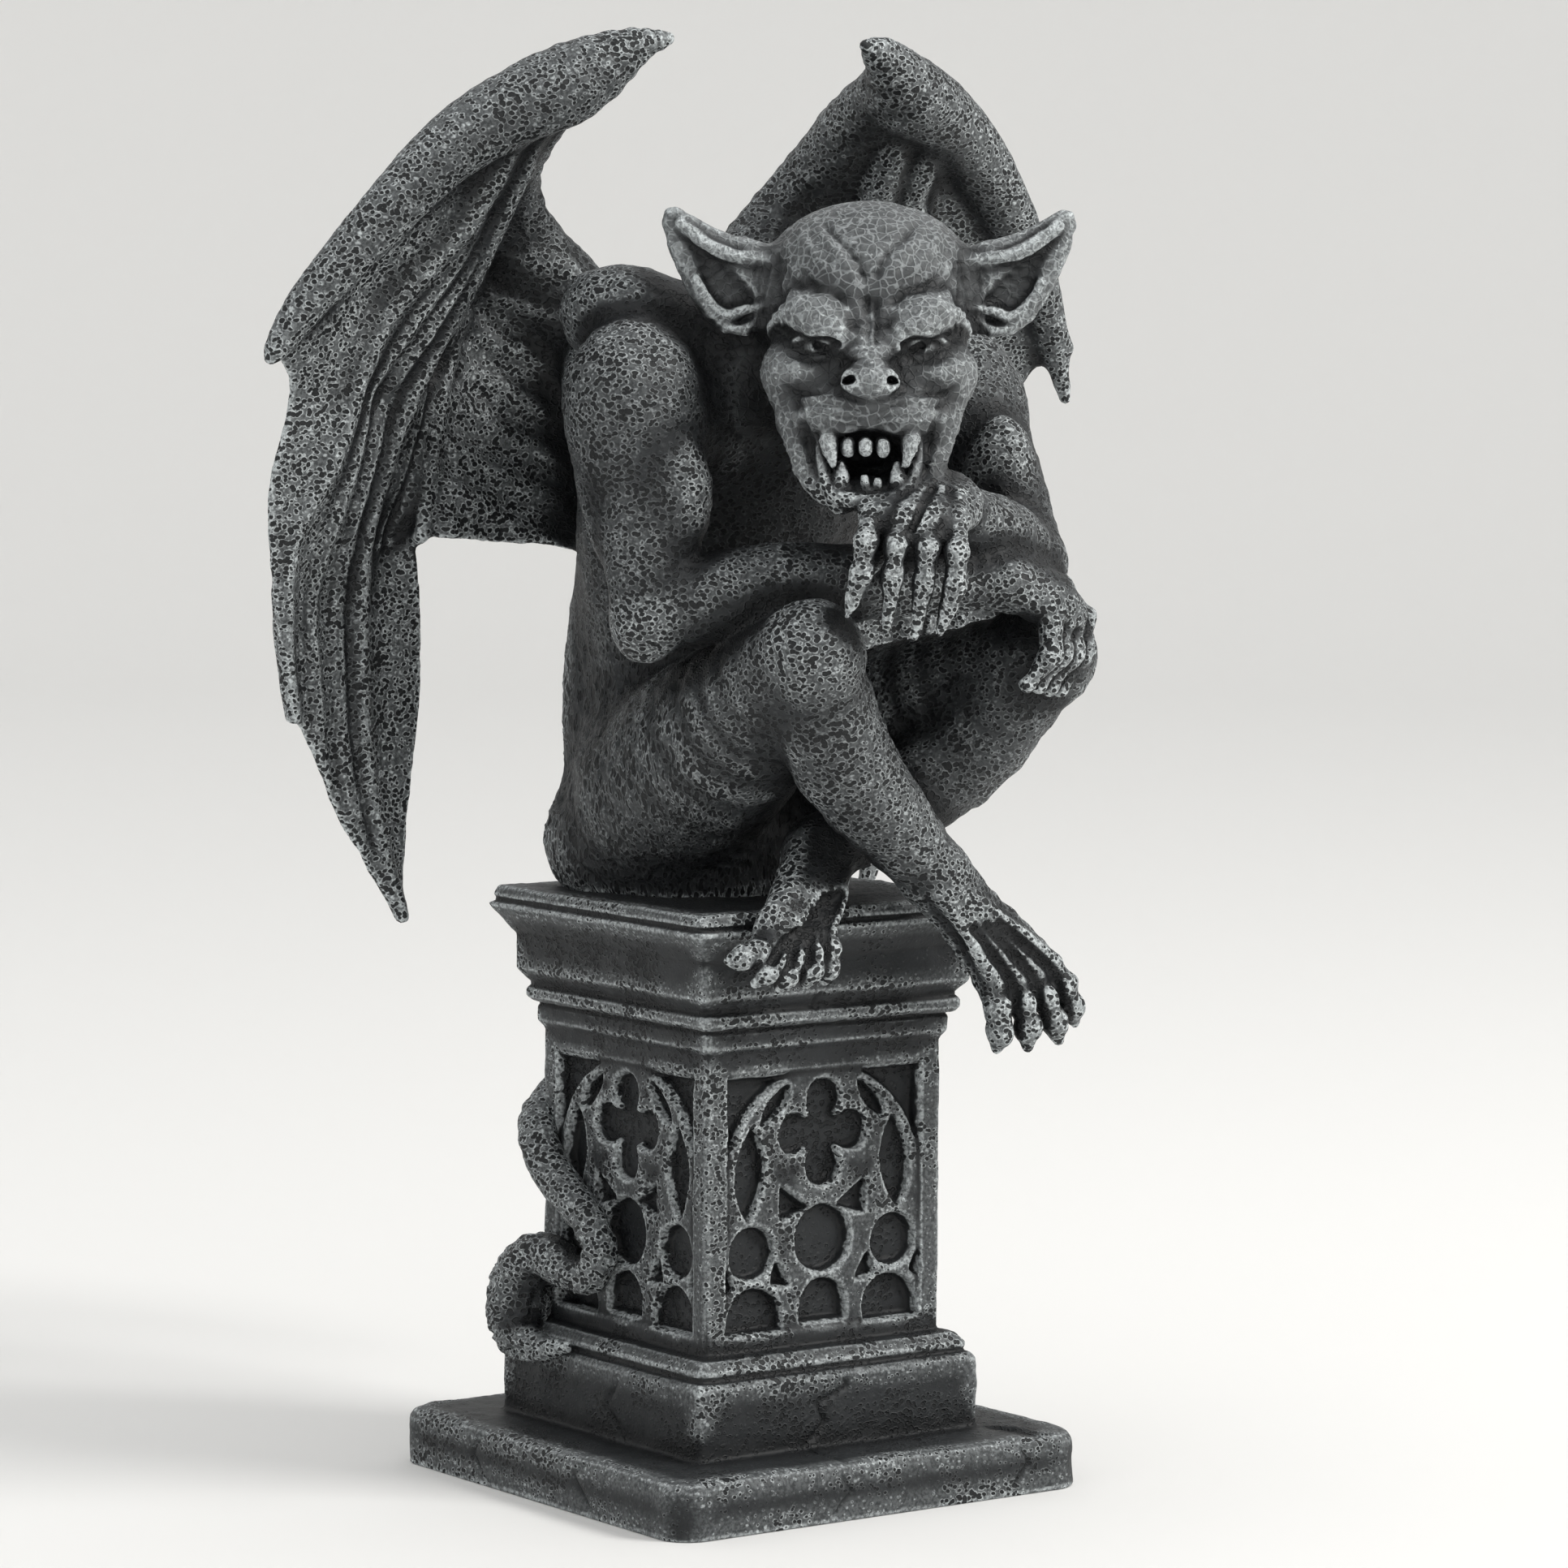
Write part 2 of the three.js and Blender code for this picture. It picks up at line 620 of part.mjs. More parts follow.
function wingSolid(side) {
  const bone = (stations, rings) => limb(stations.map(([x, y, z, r]) => [side * x, y, z, r]), {
    sides: 7,
    rings,
    up: [0, 1, 0],
    blunt: 0,
  });
  const spar = WING_SPAR.map(([x, y, z, r], k) => {
    const fromTip = WING_SPAR.length - 1 - k;
    const drop = side > 0 && fromTip < 2 ? LEFT_TIP_DROP / (fromTip + 1) : 0;
    return [x, y, z - drop, r];
  });
  return joined([bone(spar, 9), bone(WING_ARM, 5), membraneSolid(side)]);
}

// TAIL

// The tail drops behind the cap, winds round to the figure's right and ends in a tuft on the plinth's side.
const TAIL = [
  [0, 31, 131, 8], [2, 41, 118, 6.2], [2, 40, 103, 5.2], [-6, 36, 92, 4.8],
  [-19, 34.5, 82, 4.4], [-29, 31.5, 75, 4.2], [-33.4, 26, 70, 4.2], [-33.7, 21, 64.5, 4.2],
  [-33.4, 14.5, 60, 4], [-33.2, 8, 55.5, 3.8], [-33, 4, 50, 3.6], [-33, 6, 45, 3.6],
  [-33.2, 11, 43.8, 3.8], [-34, 18, 46, 4.2],
];
const TUFT = [
  [-34, 16, 45.4, 3.8], [-34.4, 24, 46, 5], [-34.4, 30, 41, 6.4], [-34.6, 31.5, 34, 6.8],
  [-36, 29, 29, 5.2], [-37.4, 21, 27.6, 3.2], [-37, 10, 29, 1],
];

function tailSolid() {
  return joined([
    limb(TAIL, { sides: 6, rings: 17, up: [1, 0, 0], blunt: 0 }),
    limb(TUFT, { sides: 7, rings: 6, up: [1, 0, 0], blunt: 0 }),
  ]);
}

// HEAD
// Head places are [right, forward, up] from the head's centre, before the head is turned.

function headPlaced(body) {
  const turned = body.rotate(0, 0, THREE.MathUtils.radToDeg(HEAD_TURN));
  return turned.translate(HEAD);
}

// Rounded forms of the head, each with its centre and half axes.
const SKULL = { centre: [0, -4, 9], half: [21.5, 24, 19] };
const FACE = { centre: [0, 6, -6], half: [19.5, 17, 17.5] };
const MUZZLE = { centre: [0, 16, -11], half: [12, 11, 7.5] };
const CHIN = { centre: [0, 13, -25], half: [10.5, 10, 6.5] };
const CHEEK = { centre: [14, 12.5, -5], half: [7, 7.5, 6.5] };

// Bars of the head, each station with its half width and half thickness.
const NOSE = [[0, 19, 6, 3, 2.5], [0, 24, -2, 3.6, 3], [0, 26, -6, 5, 3.4]];
const BROW = [[2.5, 20.5, 2.6, 2.4], [10, 20.5, 7, 4], [18.5, 12.5, 10, 2.6]];
const EAR = [[18, 4, 11, 9, 4], [28, 3, 14, 9.5, 3], [35, 2, 20.5, 6.5, 2.4], [40.3, 1, 26.6, 1.6, 1]];
const UPPER_FANG = [[7.4, 21, -15, 2], [7.5, 23.4, -22, 0.6]];
const LOWER_FANG = [[6.4, 21, -25, 1.9], [5.8, 23, -19.6, 0.5]];

// Hollows of the head.
const EYE_SOCKET = { centre: [10.5, 22.5, 1.2], half: [4.8, 4, 2.2], turn: 14 };
const EAR_HOLLOW = { centre: [27, 7, 14], half: [6, 4, 5], turn: -40 };
const MOUTH = { centre: [-1, 27, -19.4], half: [6, 12, 3.2] };

function headSolid() {
  const mirrored = ([x, ...rest], side) => [side * x, ...rest];
  const at = ([right, forward, up]) => [right, -forward, up];
  const blob = ({ centre, half, turn = 0 }, detail, side = 1) => (
    lump(at(mirrored(centre, side)), half, [0, side * turn, 0], detail)
  );
  const bar = (stations, sides, rings, side = 1) => {
    const places = stations.map(([x, y, ...rest]) => mirrored([x, -y, ...rest], side));
    return limb(places, { sides, rings, up: [0, 1, 0], blunt: 0.3 });
  };
  let head = joined([
    blob(SKULL, [9, 6]),
    blob(FACE, [8, 6]),
    blob(MUZZLE, [8, 5]),
    blob(CHIN, [7, 5]),
    bar(NOSE, 6, 2),
  ]);
  for (const side of [1, -1]) {
    head = joined([
      head,
      blob(CHEEK, [6, 5], side),
      bar(BROW, 6, 2, side),
      bar(EAR, 6, 3, side),
      bar(UPPER_FANG, 5, 1, side),
    ]);
    head = head.subtract(blob(EYE_SOCKET, [6, 4], side)).subtract(blob(EAR_HOLLOW, [6, 4], side));
  }
  head = head.subtract(blob(MOUTH, [8, 5]));
  return headPlaced(joined([head, bar(LOWER_FANG, 5, 1, 1), bar(LOWER_FANG, 5, 1, -1)]));
}

function gargoyleSolid() {
  const body = joined([
    torsoSolid(),
    armSolid(SHOULDER_R, ELBOW_R, WRIST_R, -1, 3),
    armSolid(SHOULDER_L, ELBOW_L, WRIST_L, 1, 0),
    rightHandSolid(),
    leftHandSolid(),
    legsSolid(),
    wingSolid(-1),
    wingSolid(1),
    tailSolid(),
    headSolid(),
  ]);
  return body.subtract(plinthKeepOut());
}

// Facets smaller than this are merged away, so that no sliver is left where two forms cross.
const SLIVER = 0.5;

const resin = new THREE.MeshStandardMaterial({ color: 0x4a4d50, roughness: 0.75, metalness: 0 });
const darkResin = new THREE.MeshStandardMaterial({ color: 0x404244, roughness: 0.78, metalness: 0 });

const statue = new THREE.Group();
statue.name = 'gargoyle_statue';
statue.add(meshOf(plinthSolid(), 'plinth', darkResin));
statue.add(meshOf(gargoyleSolid().simplify(SLIVER), 'gargoyle', resin));

export default statue;
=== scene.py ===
"""A winged gargoyle seated with crossed legs on a square gothic plinth, cast in dark resin.

Every form is a distance field in millimetres, negative inside. Shapes are joined and cut with soft blends,
the field is turned into a mesh, and the carved relief is pressed into the mesh along its normals.
The figure's right side is at -X, it looks towards -Y, and its head is turned towards its right shoulder.
"""

import math

import bpy
import numpy as np
from mathutils import Matrix, Vector


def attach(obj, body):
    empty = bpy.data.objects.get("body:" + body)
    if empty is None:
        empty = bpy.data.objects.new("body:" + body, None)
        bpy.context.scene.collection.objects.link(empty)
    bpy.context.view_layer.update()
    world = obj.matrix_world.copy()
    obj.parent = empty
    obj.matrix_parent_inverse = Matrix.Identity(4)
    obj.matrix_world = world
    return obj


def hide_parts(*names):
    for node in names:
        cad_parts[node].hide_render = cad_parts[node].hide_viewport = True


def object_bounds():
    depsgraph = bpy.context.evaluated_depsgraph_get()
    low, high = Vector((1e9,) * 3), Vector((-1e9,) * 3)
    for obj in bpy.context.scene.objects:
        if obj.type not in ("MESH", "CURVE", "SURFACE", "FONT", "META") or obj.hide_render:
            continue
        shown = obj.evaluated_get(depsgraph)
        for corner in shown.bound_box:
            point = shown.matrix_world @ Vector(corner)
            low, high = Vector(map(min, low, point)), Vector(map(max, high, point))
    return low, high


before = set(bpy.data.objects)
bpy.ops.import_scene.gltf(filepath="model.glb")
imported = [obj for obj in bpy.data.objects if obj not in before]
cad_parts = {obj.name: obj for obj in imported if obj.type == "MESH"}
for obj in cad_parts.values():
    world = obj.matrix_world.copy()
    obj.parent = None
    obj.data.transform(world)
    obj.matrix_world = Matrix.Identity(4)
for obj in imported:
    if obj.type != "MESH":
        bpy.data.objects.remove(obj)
cad_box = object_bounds()

MM = 0.001
FAR = 40.0
REACH = 11.0
CHUNK = 18.0
BLOCK = 4

# Meshing: distance between samples in millimetres, and the most triangles a piece may have.
HEAD_PITCH = 0.44
BODY_PITCH = 0.74
WING_PITCH = 0.74
PLINTH_PITCH = 0.67
TRIANGLES = 190000

# Pieces of the figure reach this far past each other, and dip there by this much so that no edge shows.
OVERLAP = 2.0
OVERLAP_SINK = 0.3

# Plinth: half widths and heights, as on the frame.
SLAB_HALF, SLAB_TOP, SLAB_CORNER = 52, 12, 7
BLOCK_HALF, BLOCK_TOP = 36, 27.7
TORUS_HALF, TORUS_TOP = 34.3, 32
SHAFT_HALF, SHAFT_TOP = 30, 93.5
NECK_HALF = 31.2
RING_HALF, RING_TOP = 33, 103.3
FRIEZE_HALF, FRIEZE_TOP = 34.4, 113.6
CAP_HALF, CAP_TOP = 38.7, 123.4
EDGE_CORNER = 1.4
PANEL_HALF, PANEL_BOTTOM, PANEL_DEPTH = 25, 35.4, 0.9
ARCH_SPRING, ARCH_RADIUS = 64.5, 25
TRACERY_DEPTH = 3.4

# Figure: joints in space.
HIP = (16, 4.5, 145)
KNEE_R, KNEE_L = (-24, -55, 176), (38.5, -51, 174)
ANKLE_R, ANKLE_L = (13, -49, 130), (-5, -33, 134)
SHOULDER_R, SHOULDER_L = (-41, -19, 229), (40, -20, 227)
ELBOW_R, ELBOW_L = (-42, -27, 184), (38, -46, 193)
WRIST_R, WRIST_L = (22, -60, 190), (6, -60, 206)
BALL_R, BALL_L = (33, -51, 109), (-20, -45, 119)
TOE_TIPS_R = [(26.2, -53, 93.8), (33.7, -54, 93.8), (41.6, -54, 94.6), (47.4, -52, 98)]
TOE_TIPS_L = [(-36.6, -46, 115.2), (-31.4, -48, 110.6), (-25.7, -48, 108.9), (-18.8, -48, 109.6),
              (-12.8, -46, 109.3)]
HEAD = (-1.9, -44.6, 237)
HEAD_TURN = math.radians(-36)


# Distance fields

def join_soft(a, b, blend):
    h = np.maximum(blend - np.abs(a - b), 0.0) / blend
    return np.minimum(a, b) - h * h * blend * 0.25


def cut_soft(a, b, blend):
    return -join_soft(-a, b, blend)


class Field:
    """Shapes joined and cut in order. A shape is (low corner, high corner, measure)."""

    def __init__(self):
        self.steps = []

    def join(self, shape, blend=3.0):
        self.steps.append((join_soft, shape, blend))

    def cut(self, shape, blend=0.8):
        self.steps.append((cut_soft, shape, blend))

    def distance(self, p):
        """Distances at many places, worked out one chunk of space at a time so that far shapes are skipped."""
        cell = np.floor(p / CHUNK).astype(np.int64)
        cell -= cell.min(axis=1, keepdims=True)
        size = cell.max(axis=1) + 1
        key = (cell[0] * size[1] + cell[1]) * size[2] + cell[2]
        order = np.argsort(key, kind="stable")
        d = np.empty(p.shape[1], dtype=np.float32)
        for part in np.split(order, np.flatnonzero(np.diff(key[order])) + 1):
            d[part] = self.chunk_distance(p[:, part])
        return d

    def chunk_distance(self, p):
        d = np.full(p.shape[1], FAR, dtype=np.float32)
        nearest, farthest = p.min(axis=1), p.max(axis=1)
        for combine, (low, high, measure), blend in self.steps:
            pad = REACH + blend
            if (low - pad > farthest).any() or (high + pad < nearest).any():
                continue
            inside = np.ones(p.shape[1], dtype=bool)
            for axis in range(3):
                inside &= (p[axis] > low[axis] - pad) & (p[axis] < high[axis] + pad)
            near = np.nonzero(inside)[0]
            if len(near):
                d[near] = combine(d[near], measure(p[:, near]), blend)
        return d


def turned(angles):
    """Rotation matrix from X, Y and Z angles in degrees."""
    x, y, z = (math.radians(a) for a in angles)
    return np.array(Matrix.Rotation(z, 3, "Z") @ Matrix.Rotation(y, 3, "Y") @ Matrix.Rotation(x, 3, "X"))


def lump(centre, half, turn=(0, 0, 0), base=None):
    """An egg with half axes along X, Y and Z, turned, and then carried by a base rotation if there is one."""
    axes = turned(turn) if base is None else base @ turned(turn)
    c = np.array(centre, dtype=np.float32)[:, None]
    h = np.array(half, dtype=np.float32)[:, None]
    spread = np.sqrt(((axes * h.T) ** 2).sum(axis=1))
    inverse = axes.T.astype(np.float32)

    def measure(p):
        q = (inverse @ (p - c)) / h
        k0 = np.sqrt((q * q).sum(axis=0))
        q /= h
        k1 = np.sqrt((q * q).sum(axis=0))
        return k0 * (k0 - 1) / np.maximum(k1, 1e-4)

    return c[:, 0] - spread, c[:, 0] + spread, measure


def smooth_path(stations, steps):
    """Catmull-Rom points through the stations, each a row of numbers."""
    s = np.array(stations, dtype=float)
    if steps == 1 or len(s) < 3:
        return s
    padded = np.vstack([2 * s[0] - s[1], s, 2 * s[-1] - s[-2]])
    rows = []
    for k in range(len(s) - 1):
        a, b, c, d = padded[k:k + 4]
        for t in np.arange(steps) / steps:
            rows.append(0.5 * (2 * b + (c - a) * t + (2 * a - 5 * b + 4 * c - d) * t ** 2
                               + (3 * b - a - 3 * c + d) * t ** 3))
    rows.append(s[-1])
    return np.array(rows)


def limb(stations, over=None, steps=3):
    """A round bone along the stations [x, y, z, radius], or with [x, y, z, half width, half thickness]
    an oval one, whose thickness lies along the direction over."""
    path = smooth_path(stations, steps)
    path[:, 3:] = np.maximum(path[:, 3:], 0.15)
    widest = path[:, 3:].max(axis=1)[:, None]
    low = (path[:, :3] - widest).min(axis=0)
    high = (path[:, :3] + widest).max(axis=0)
    facing = None if over is None else np.array(Vector(over).normalized(), dtype=np.float32)[:, None]
    path = path.astype(np.float32)

    def measure(p):
        best = np.full(p.shape[1], FAR, dtype=np.float32)
        nearest, farthest = p.min(axis=1) - REACH * 2, p.max(axis=1) + REACH * 2
        for start, end in zip(path[:-1], path[1:]):
            size = max(start[3], end[3])
            if (np.minimum(start[:3], end[:3]) - size > farthest).any():
                continue
            if (np.maximum(start[:3], end[:3]) + size < nearest).any():
                continue
            a = start[:3, None]
            ab = end[:3, None] - a
            v = p - a
            t = np.clip((v * ab).sum(axis=0) / max(float((ab * ab).sum()), 1e-6), 0, 1)
            v -= ab * t
            wide = start[3] + (end[3] - start[3]) * t
            if facing is None:
                d = np.sqrt((v * v).sum(axis=0)) - wide
            else:
                ratio = wide / (start[4] + (end[4] - start[4]) * t)
                o = (v * facing).sum(axis=0)
                flat = v + facing * (o * (ratio - 1))
                size = np.sqrt((flat * flat).sum(axis=0))
                slope = v + facing * (o * (ratio * ratio - 1))
                d = (size - wide) * size / np.maximum(np.sqrt((slope * slope).sum(axis=0)), 1e-4)
            best = np.minimum(best, d)
        return best

    return low, high, measure


def column(stations):
    """A stack of ovals: [centre x, centre y, z, half width, half depth], lowest first, flat at both ends."""
    rows = smooth_path(stations, 4)
    low = np.array([(rows[:, 0] - rows[:, 3]).min(), (rows[:, 1] - rows[:, 4]).min(), rows[0, 2]])
    high = np.array([(rows[:, 0] + rows[:, 3]).max(), (rows[:, 1] + rows[:, 4]).max(), rows[-1, 2]])

    def measure(p):
        cx, cy, rx, ry = (np.interp(p[2], rows[:, 2], rows[:, k]).astype(np.float32) for k in (0, 1, 3, 4))
        qx, qy = (p[0] - cx) / rx, (p[1] - cy) / ry
        k = np.maximum(np.sqrt(qx * qx + qy * qy), 1e-3)
        slope = np.sqrt((qx / rx) ** 2 + (qy / ry) ** 2) / k
        side = (k - 1) / np.maximum(slope, 1e-4)
        ends = np.maximum(rows[0, 2] - p[2], p[2] - rows[-1, 2])
        return -join_soft(-side, -ends, 6.0)

    return low, high, measure


def outline_distance(points, x, z):
    """Signed distance in a plane to a closed outline of straight stretches, negative inside."""
    best = np.full(x.shape, FAR ** 2, dtype=np.float32)
    inside = np.zeros(x.shape, dtype=bool)
    for (ax, az), (bx, bz) in zip(points, points[1:] + points[:1]):
        ex, ez = bx - ax, bz - az
        t = np.clip(((x - ax) * ex + (z - az) * ez) / max(ex * ex + ez * ez, 1e-9), 0, 1)
        best = np.minimum(best, (x - ax - ex * t) ** 2 + (z - az - ez * t) ** 2)
        crosses = (az > z) != (bz > z)
        inside ^= crosses & (x < ax + ex * (z - az) / (ez if ez else 1e-9))
    best = np.sqrt(best)
    return np.where(inside, -best, best)


def line_distance(points, x, z):
    """Distance in a plane to an open line, and how far along it the nearest place is, from 0 to 1."""
    best = np.full(x.shape, FAR, dtype=np.float32)
    along = np.zeros(x.shape, dtype=np.float32)
    count = len(points) - 1
    for k, ((ax, az), (bx, bz)) in enumerate(zip(points[:-1], points[1:])):
        ex, ez = bx - ax, bz - az
        t = np.clip(((x - ax) * ex + (z - az) * ez) / max(ex * ex + ez * ez, 1e-9), 0, 1)
        d = np.hypot(x - ax - ex * t, z - az - ez * t)
        closer = d < best
        best = np.where(closer, d, best)
        along = np.where(closer, (k + t) / count, along)
    return best, along


class Map:
    """Values on a flat grid, read back with straight-line mixing between its points."""

    def __init__(self, low, high, step):
        self.low, self.step = np.array(low, dtype=float), step
        axes = [np.arange(a, b + step, step) for a, b in zip(low, high)]
        self.x, self.z = np.meshgrid(*axes, indexing="ij")

    def read(self, values, x, z):
        fx = np.clip((x - self.low[0]) / self.step, 0, values.shape[0] - 1.001)
        fz = np.clip((z - self.low[1]) / self.step, 0, values.shape[1] - 1.001)
        i, j = fx.astype(int), fz.astype(int)
        u, v = fx - i, fz - j
        return ((values[i, j] * (1 - u) + values[i + 1, j] * u) * (1 - v)
                + (values[i, j + 1] * (1 - u) + values[i + 1, j + 1] * u) * v)


# Noise

def lattice(ix, iy, iz, seed):
    h = (ix * 374761393 + iy * 668265263 + iz * 1440662683 + seed * 982451653) & 0xFFFFFFFF
    h = ((h ^ (h >> 13)) * 1274126177) & 0xFFFFFFFF
    return ((h ^ (h >> 16)) & 0xFFFF) / 65535.0


def noise(p, size, seed=0):
    """Smooth noise from -1 to 1 with features of a size in millimetres."""
    q = p / size
    cell = np.floor(q).astype(np.int64)
    f = q - cell
    f = f * f * (3 - 2 * f)
    total = 0
    for dx in (0, 1):
        for dy in (0, 1):
            for dz in (0, 1):
                weight = (f[0] if dx else 1 - f[0]) * (f[1] if dy else 1 - f[1]) * (f[2] if dz else 1 - f[2])
                total = total + weight * lattice(cell[0] + dx, cell[1] + dy, cell[2] + dz, seed)
    return total * 2 - 1


def strokes(p, direction, length, width, seed=0):
    """Short wavy tufts that run along a direction: from 0 in the furrows to 1 on the ridges."""
    axis = np.array(Vector(direction).normalized())[:, None]
    wave = np.stack([noise(p, length * 1.3, seed + k) for k in (11, 12, 13)]) * length * 0.28
    q = p + wave
    along = (q * axis).sum(axis=0)
    q = q / width + axis * along * (1 / length - 1 / width)
    return 1 - np.abs(noise(q, 1.0, seed))


# Meshing

def sample(field, low, high, pitch):
    """Samples a field on a grid, exactly near its surface and roughly elsewhere."""
    blocks = np.ceil((np.array(high) - low) / (pitch * BLOCK)).astype(int)
    size = blocks * BLOCK
    grid = [low[k] + (np.arange(blocks[k]) + 0.5) * BLOCK * pitch - pitch / 2 for k in range(3)]
    centres = np.stack([g.ravel() for g in np.meshgrid(*grid, indexing="ij")]).astype(np.float32)
    rough = field.distance(centres)
    values = np.repeat(np.repeat(np.repeat(rough.reshape(blocks), BLOCK, 0), BLOCK, 1), BLOCK, 2)
    near = np.argwhere((np.abs(rough) < BLOCK * pitch + 3.0).reshape(blocks))
    steps = np.arange(BLOCK)
    inner = np.stack([g.ravel() for g in np.meshgrid(steps, steps, steps, indexing="ij")], axis=1)
    for part in np.array_split(near, max(1, len(near) // 6000)):
        index = (part[:, None, :] * BLOCK + inner[None]).reshape(-1, 3)
        places = (index * pitch + low).T.astype(np.float32)
        values[index[:, 0], index[:, 1], index[:, 2]] = field.distance(places)
    return values


def surface_net(values, low, pitch):
    """A mesh with one point in each cell that the surface crosses, and a quad for each crossed edge."""
    inside = values < 0
    cells_in = [n - 1 for n in values.shape]
    count = np.zeros(cells_in, dtype=np.int8)
    for dx in (0, 1):
        for dy in (0, 1):
            for dz in (0, 1):
                count += inside[dx:dx + cells_in[0], dy:dy + cells_in[1], dz:dz + cells_in[2]]
    cells = np.argwhere((count > 0) & (count < 8))
    number = np.full(cells_in, -1, dtype=np.int32)
    number[tuple(cells.T)] = np.arange(len(cells))
    total = np.zeros((len(cells), 3))
    weight = np.zeros(len(cells))
    units = np.eye(3, dtype=int)
    for axis in range(3):
        others = [k for k in range(3) if k != axis]
        for du in (0, 1):
            for dv in (0, 1):
                offset = units[others[0]] * du + units[others[1]] * dv
                a = values[tuple((cells + offset).T)]
                b = values[tuple((cells + offset + units[axis]).T)]
                crossed = (a < 0) != (b < 0)
                t = np.where(crossed, a / np.where(crossed, a - b, 1), 0)
                total += np.where(crossed[:, None], offset + t[:, None] * units[axis], 0)
                weight += crossed
    points = low + pitch * (cells + total / weight[:, None])
    quads = []
    for axis in range(3):
        b, c = (axis + 1) % 3, (axis + 2) % 3
        first = np.moveaxis(inside, axis, 0)[:-1]
        second = np.moveaxis(inside, axis, 0)[1:]
        crossed = np.moveaxis(first != second, 0, axis)
        edges = np.argwhere(crossed)
        edges = edges[(edges[:, b] > 0) & (edges[:, c] > 0)]
        edges = edges[(edges[:, b] < cells_in[b]) & (edges[:, c] < cells_in[c])]
        corners = [number[tuple((edges - units[b] * i - units[c] * j).T)]
                   for i, j in ((1, 1), (0, 1), (0, 0), (1, 0))]
        quad = np.stack(corners, axis=1)
        rising = inside[tuple(edges.T)]
        quads.append(np.where(rising[:, None], quad, quad[:, ::-1]))
    return points, np.vstack(quads)


CORNERS = np.array([[1, -1, -1], [-1, -1, 1], [-1, 1, -1], [1, 1, 1]], dtype=np.float32) / math.sqrt(3)


def slope_and_level(field, p, radius):
    """The field's direction at each point, and its mean over four places around it."""
    values = [field.distance(p + (corner * radius)[:, None]) for corner in CORNERS]
    slope = sum(corner[:, None] * value for corner, value in zip(CORNERS, values))
    slope /= np.maximum(np.sqrt((slope * slope).sum(axis=0)), 1e-6)
    return slope, sum(values) / 4


def mesh_piece(name, field, relief, box, pitch, window=None):
    """Meshes the part of a field inside a window, presses its relief in, and thins it to its triangles."""
    whole = field
    if window is not None:
        whole = Field()
        whole.steps = field.steps + [(window_cut, window, 0.2)]
    low, high = np.array(box[0], dtype=float) - 3, np.array(box[1], dtype=float) + 3
    points, quads = surface_net(sample(whole, low, high, pitch), low, pitch)
    p = points.T.astype(np.float32)
    slope, level = slope_and_level(whole, p, pitch * 0.6)
    p = p - slope * np.clip(level, -pitch * 0.5, pitch * 0.5)
    height = relief(p, slope)
    if window is not None:
        height = height - OVERLAP_SINK * ramp(window[2](p), -OVERLAP / 2, 0)
    p = p + slope * height
    mesh = bpy.data.meshes.new(name)
    mesh.from_pydata((p.T * MM).tolist(), [], quads.tolist())
    piece = bpy.data.objects.new(name, mesh)
    bpy.context.scene.collection.objects.link(piece)
    if len(quads) * 2 > TRIANGLES:
        thin = piece.modifiers.new("thin", "DECIMATE")
        thin.ratio = TRIANGLES / (len(quads) * 2)
        done = bpy.data.meshes.new_from_object(piece.evaluated_get(bpy.context.evaluated_depsgraph_get()))
        piece.modifiers.clear()
        piece.data = done
        done.name = name
    keep_in_box(piece)
    piece.data.polygons.foreach_set("use_smooth", np.ones(len(piece.data.polygons), dtype=bool))
    print(name, len(points), "points", len(piece.data.polygons), "faces")
    return piece


def keep_in_box(piece):
    """Thinning can push a point out by a hundredth of a millimetre, so this comes after it."""
    corners = np.array([list(corner) for corner in cad_box])
    inside = np.clip(places_of(piece) * MM, corners[0][:, None], corners[1][:, None])
    piece.data.vertices.foreach_set("co", inside.T.astype(np.float32).ravel())
    piece.data.update()


def window_cut(a, b, blend):
    return -join_soft(-a, -b, blend)


def windows(*parts):
    """What of the figure one piece shows: the places where every part is below zero."""
    wide = np.array([1e4, 1e4, 1e4])
    return -wide, wide, lambda p: np.maximum.reduce([part(p) for part in parts])


def places_of(piece):
    flat = np.empty(len(piece.data.vertices) * 3, dtype=np.float32)
    piece.data.vertices.foreach_get("co", flat)
    return flat.reshape(-1, 3).T / MM


def store(piece, name, values):
    layer = piece.data.attributes.new(name, "FLOAT", "POINT")
    layer.data.foreach_set("value", np.clip(values, 0, 1).astype(np.float32))


def store_looks(piece, field, pores, smooth, coat):
    """What the finish needs: crests and edges that are brushed pale, hollows darkened partly by black wash and
    partly by painted shade from how shut in they are, and the skin's kind.
    """
    p = places_of(piece)
    slope, fine = slope_and_level(field, p, 1.2)
    _, broad = slope_and_level(field, p, 5.0)
    here = field.distance(p)
    shut_in = np.zeros(p.shape[1])
    # How shut in each point is by nearby forms, sampled up to 9 mm out along the normal: it dims the pale crests and
    # feeds the painted shade in hollows.
    for reach, weight in ((1.5, 0.3), (4, 0.35), (9, 0.35)):
        shut_in += weight * np.clip(1 - field.distance(p + slope * reach) / reach, 0, 1)
    store(piece, "crest", 0.25 + (broad - here) * 0.75 - shut_in * 0.8)
    store(piece, "worn", (fine - here) * 4 - 0.05)
    # Black wash in fine creases, together with painted shade where nearby forms close in, such as under the chin and
    # the arms.
    store(piece, "wash_and_shade", shut_in * 1.7 - (fine - here) * 2)
    store(piece, "pores", pores(p))
    store(piece, "smooth", smooth(p))
    store(piece, "coat", coat(p))


# Plinth

def square_measure(p, corner):
    """Half width of the square, with rounded corners, that passes through each point."""
    a, b = np.abs(p[0]), np.abs(p[1])
    a, b = np.maximum(a, b), np.minimum(a, b)
    gap = a - b
    rounded = (a + b - np.sqrt(np.maximum(2 * corner * corner - gap * gap, 0))) / 2 + corner
    return np.where(gap < corner, rounded, a)


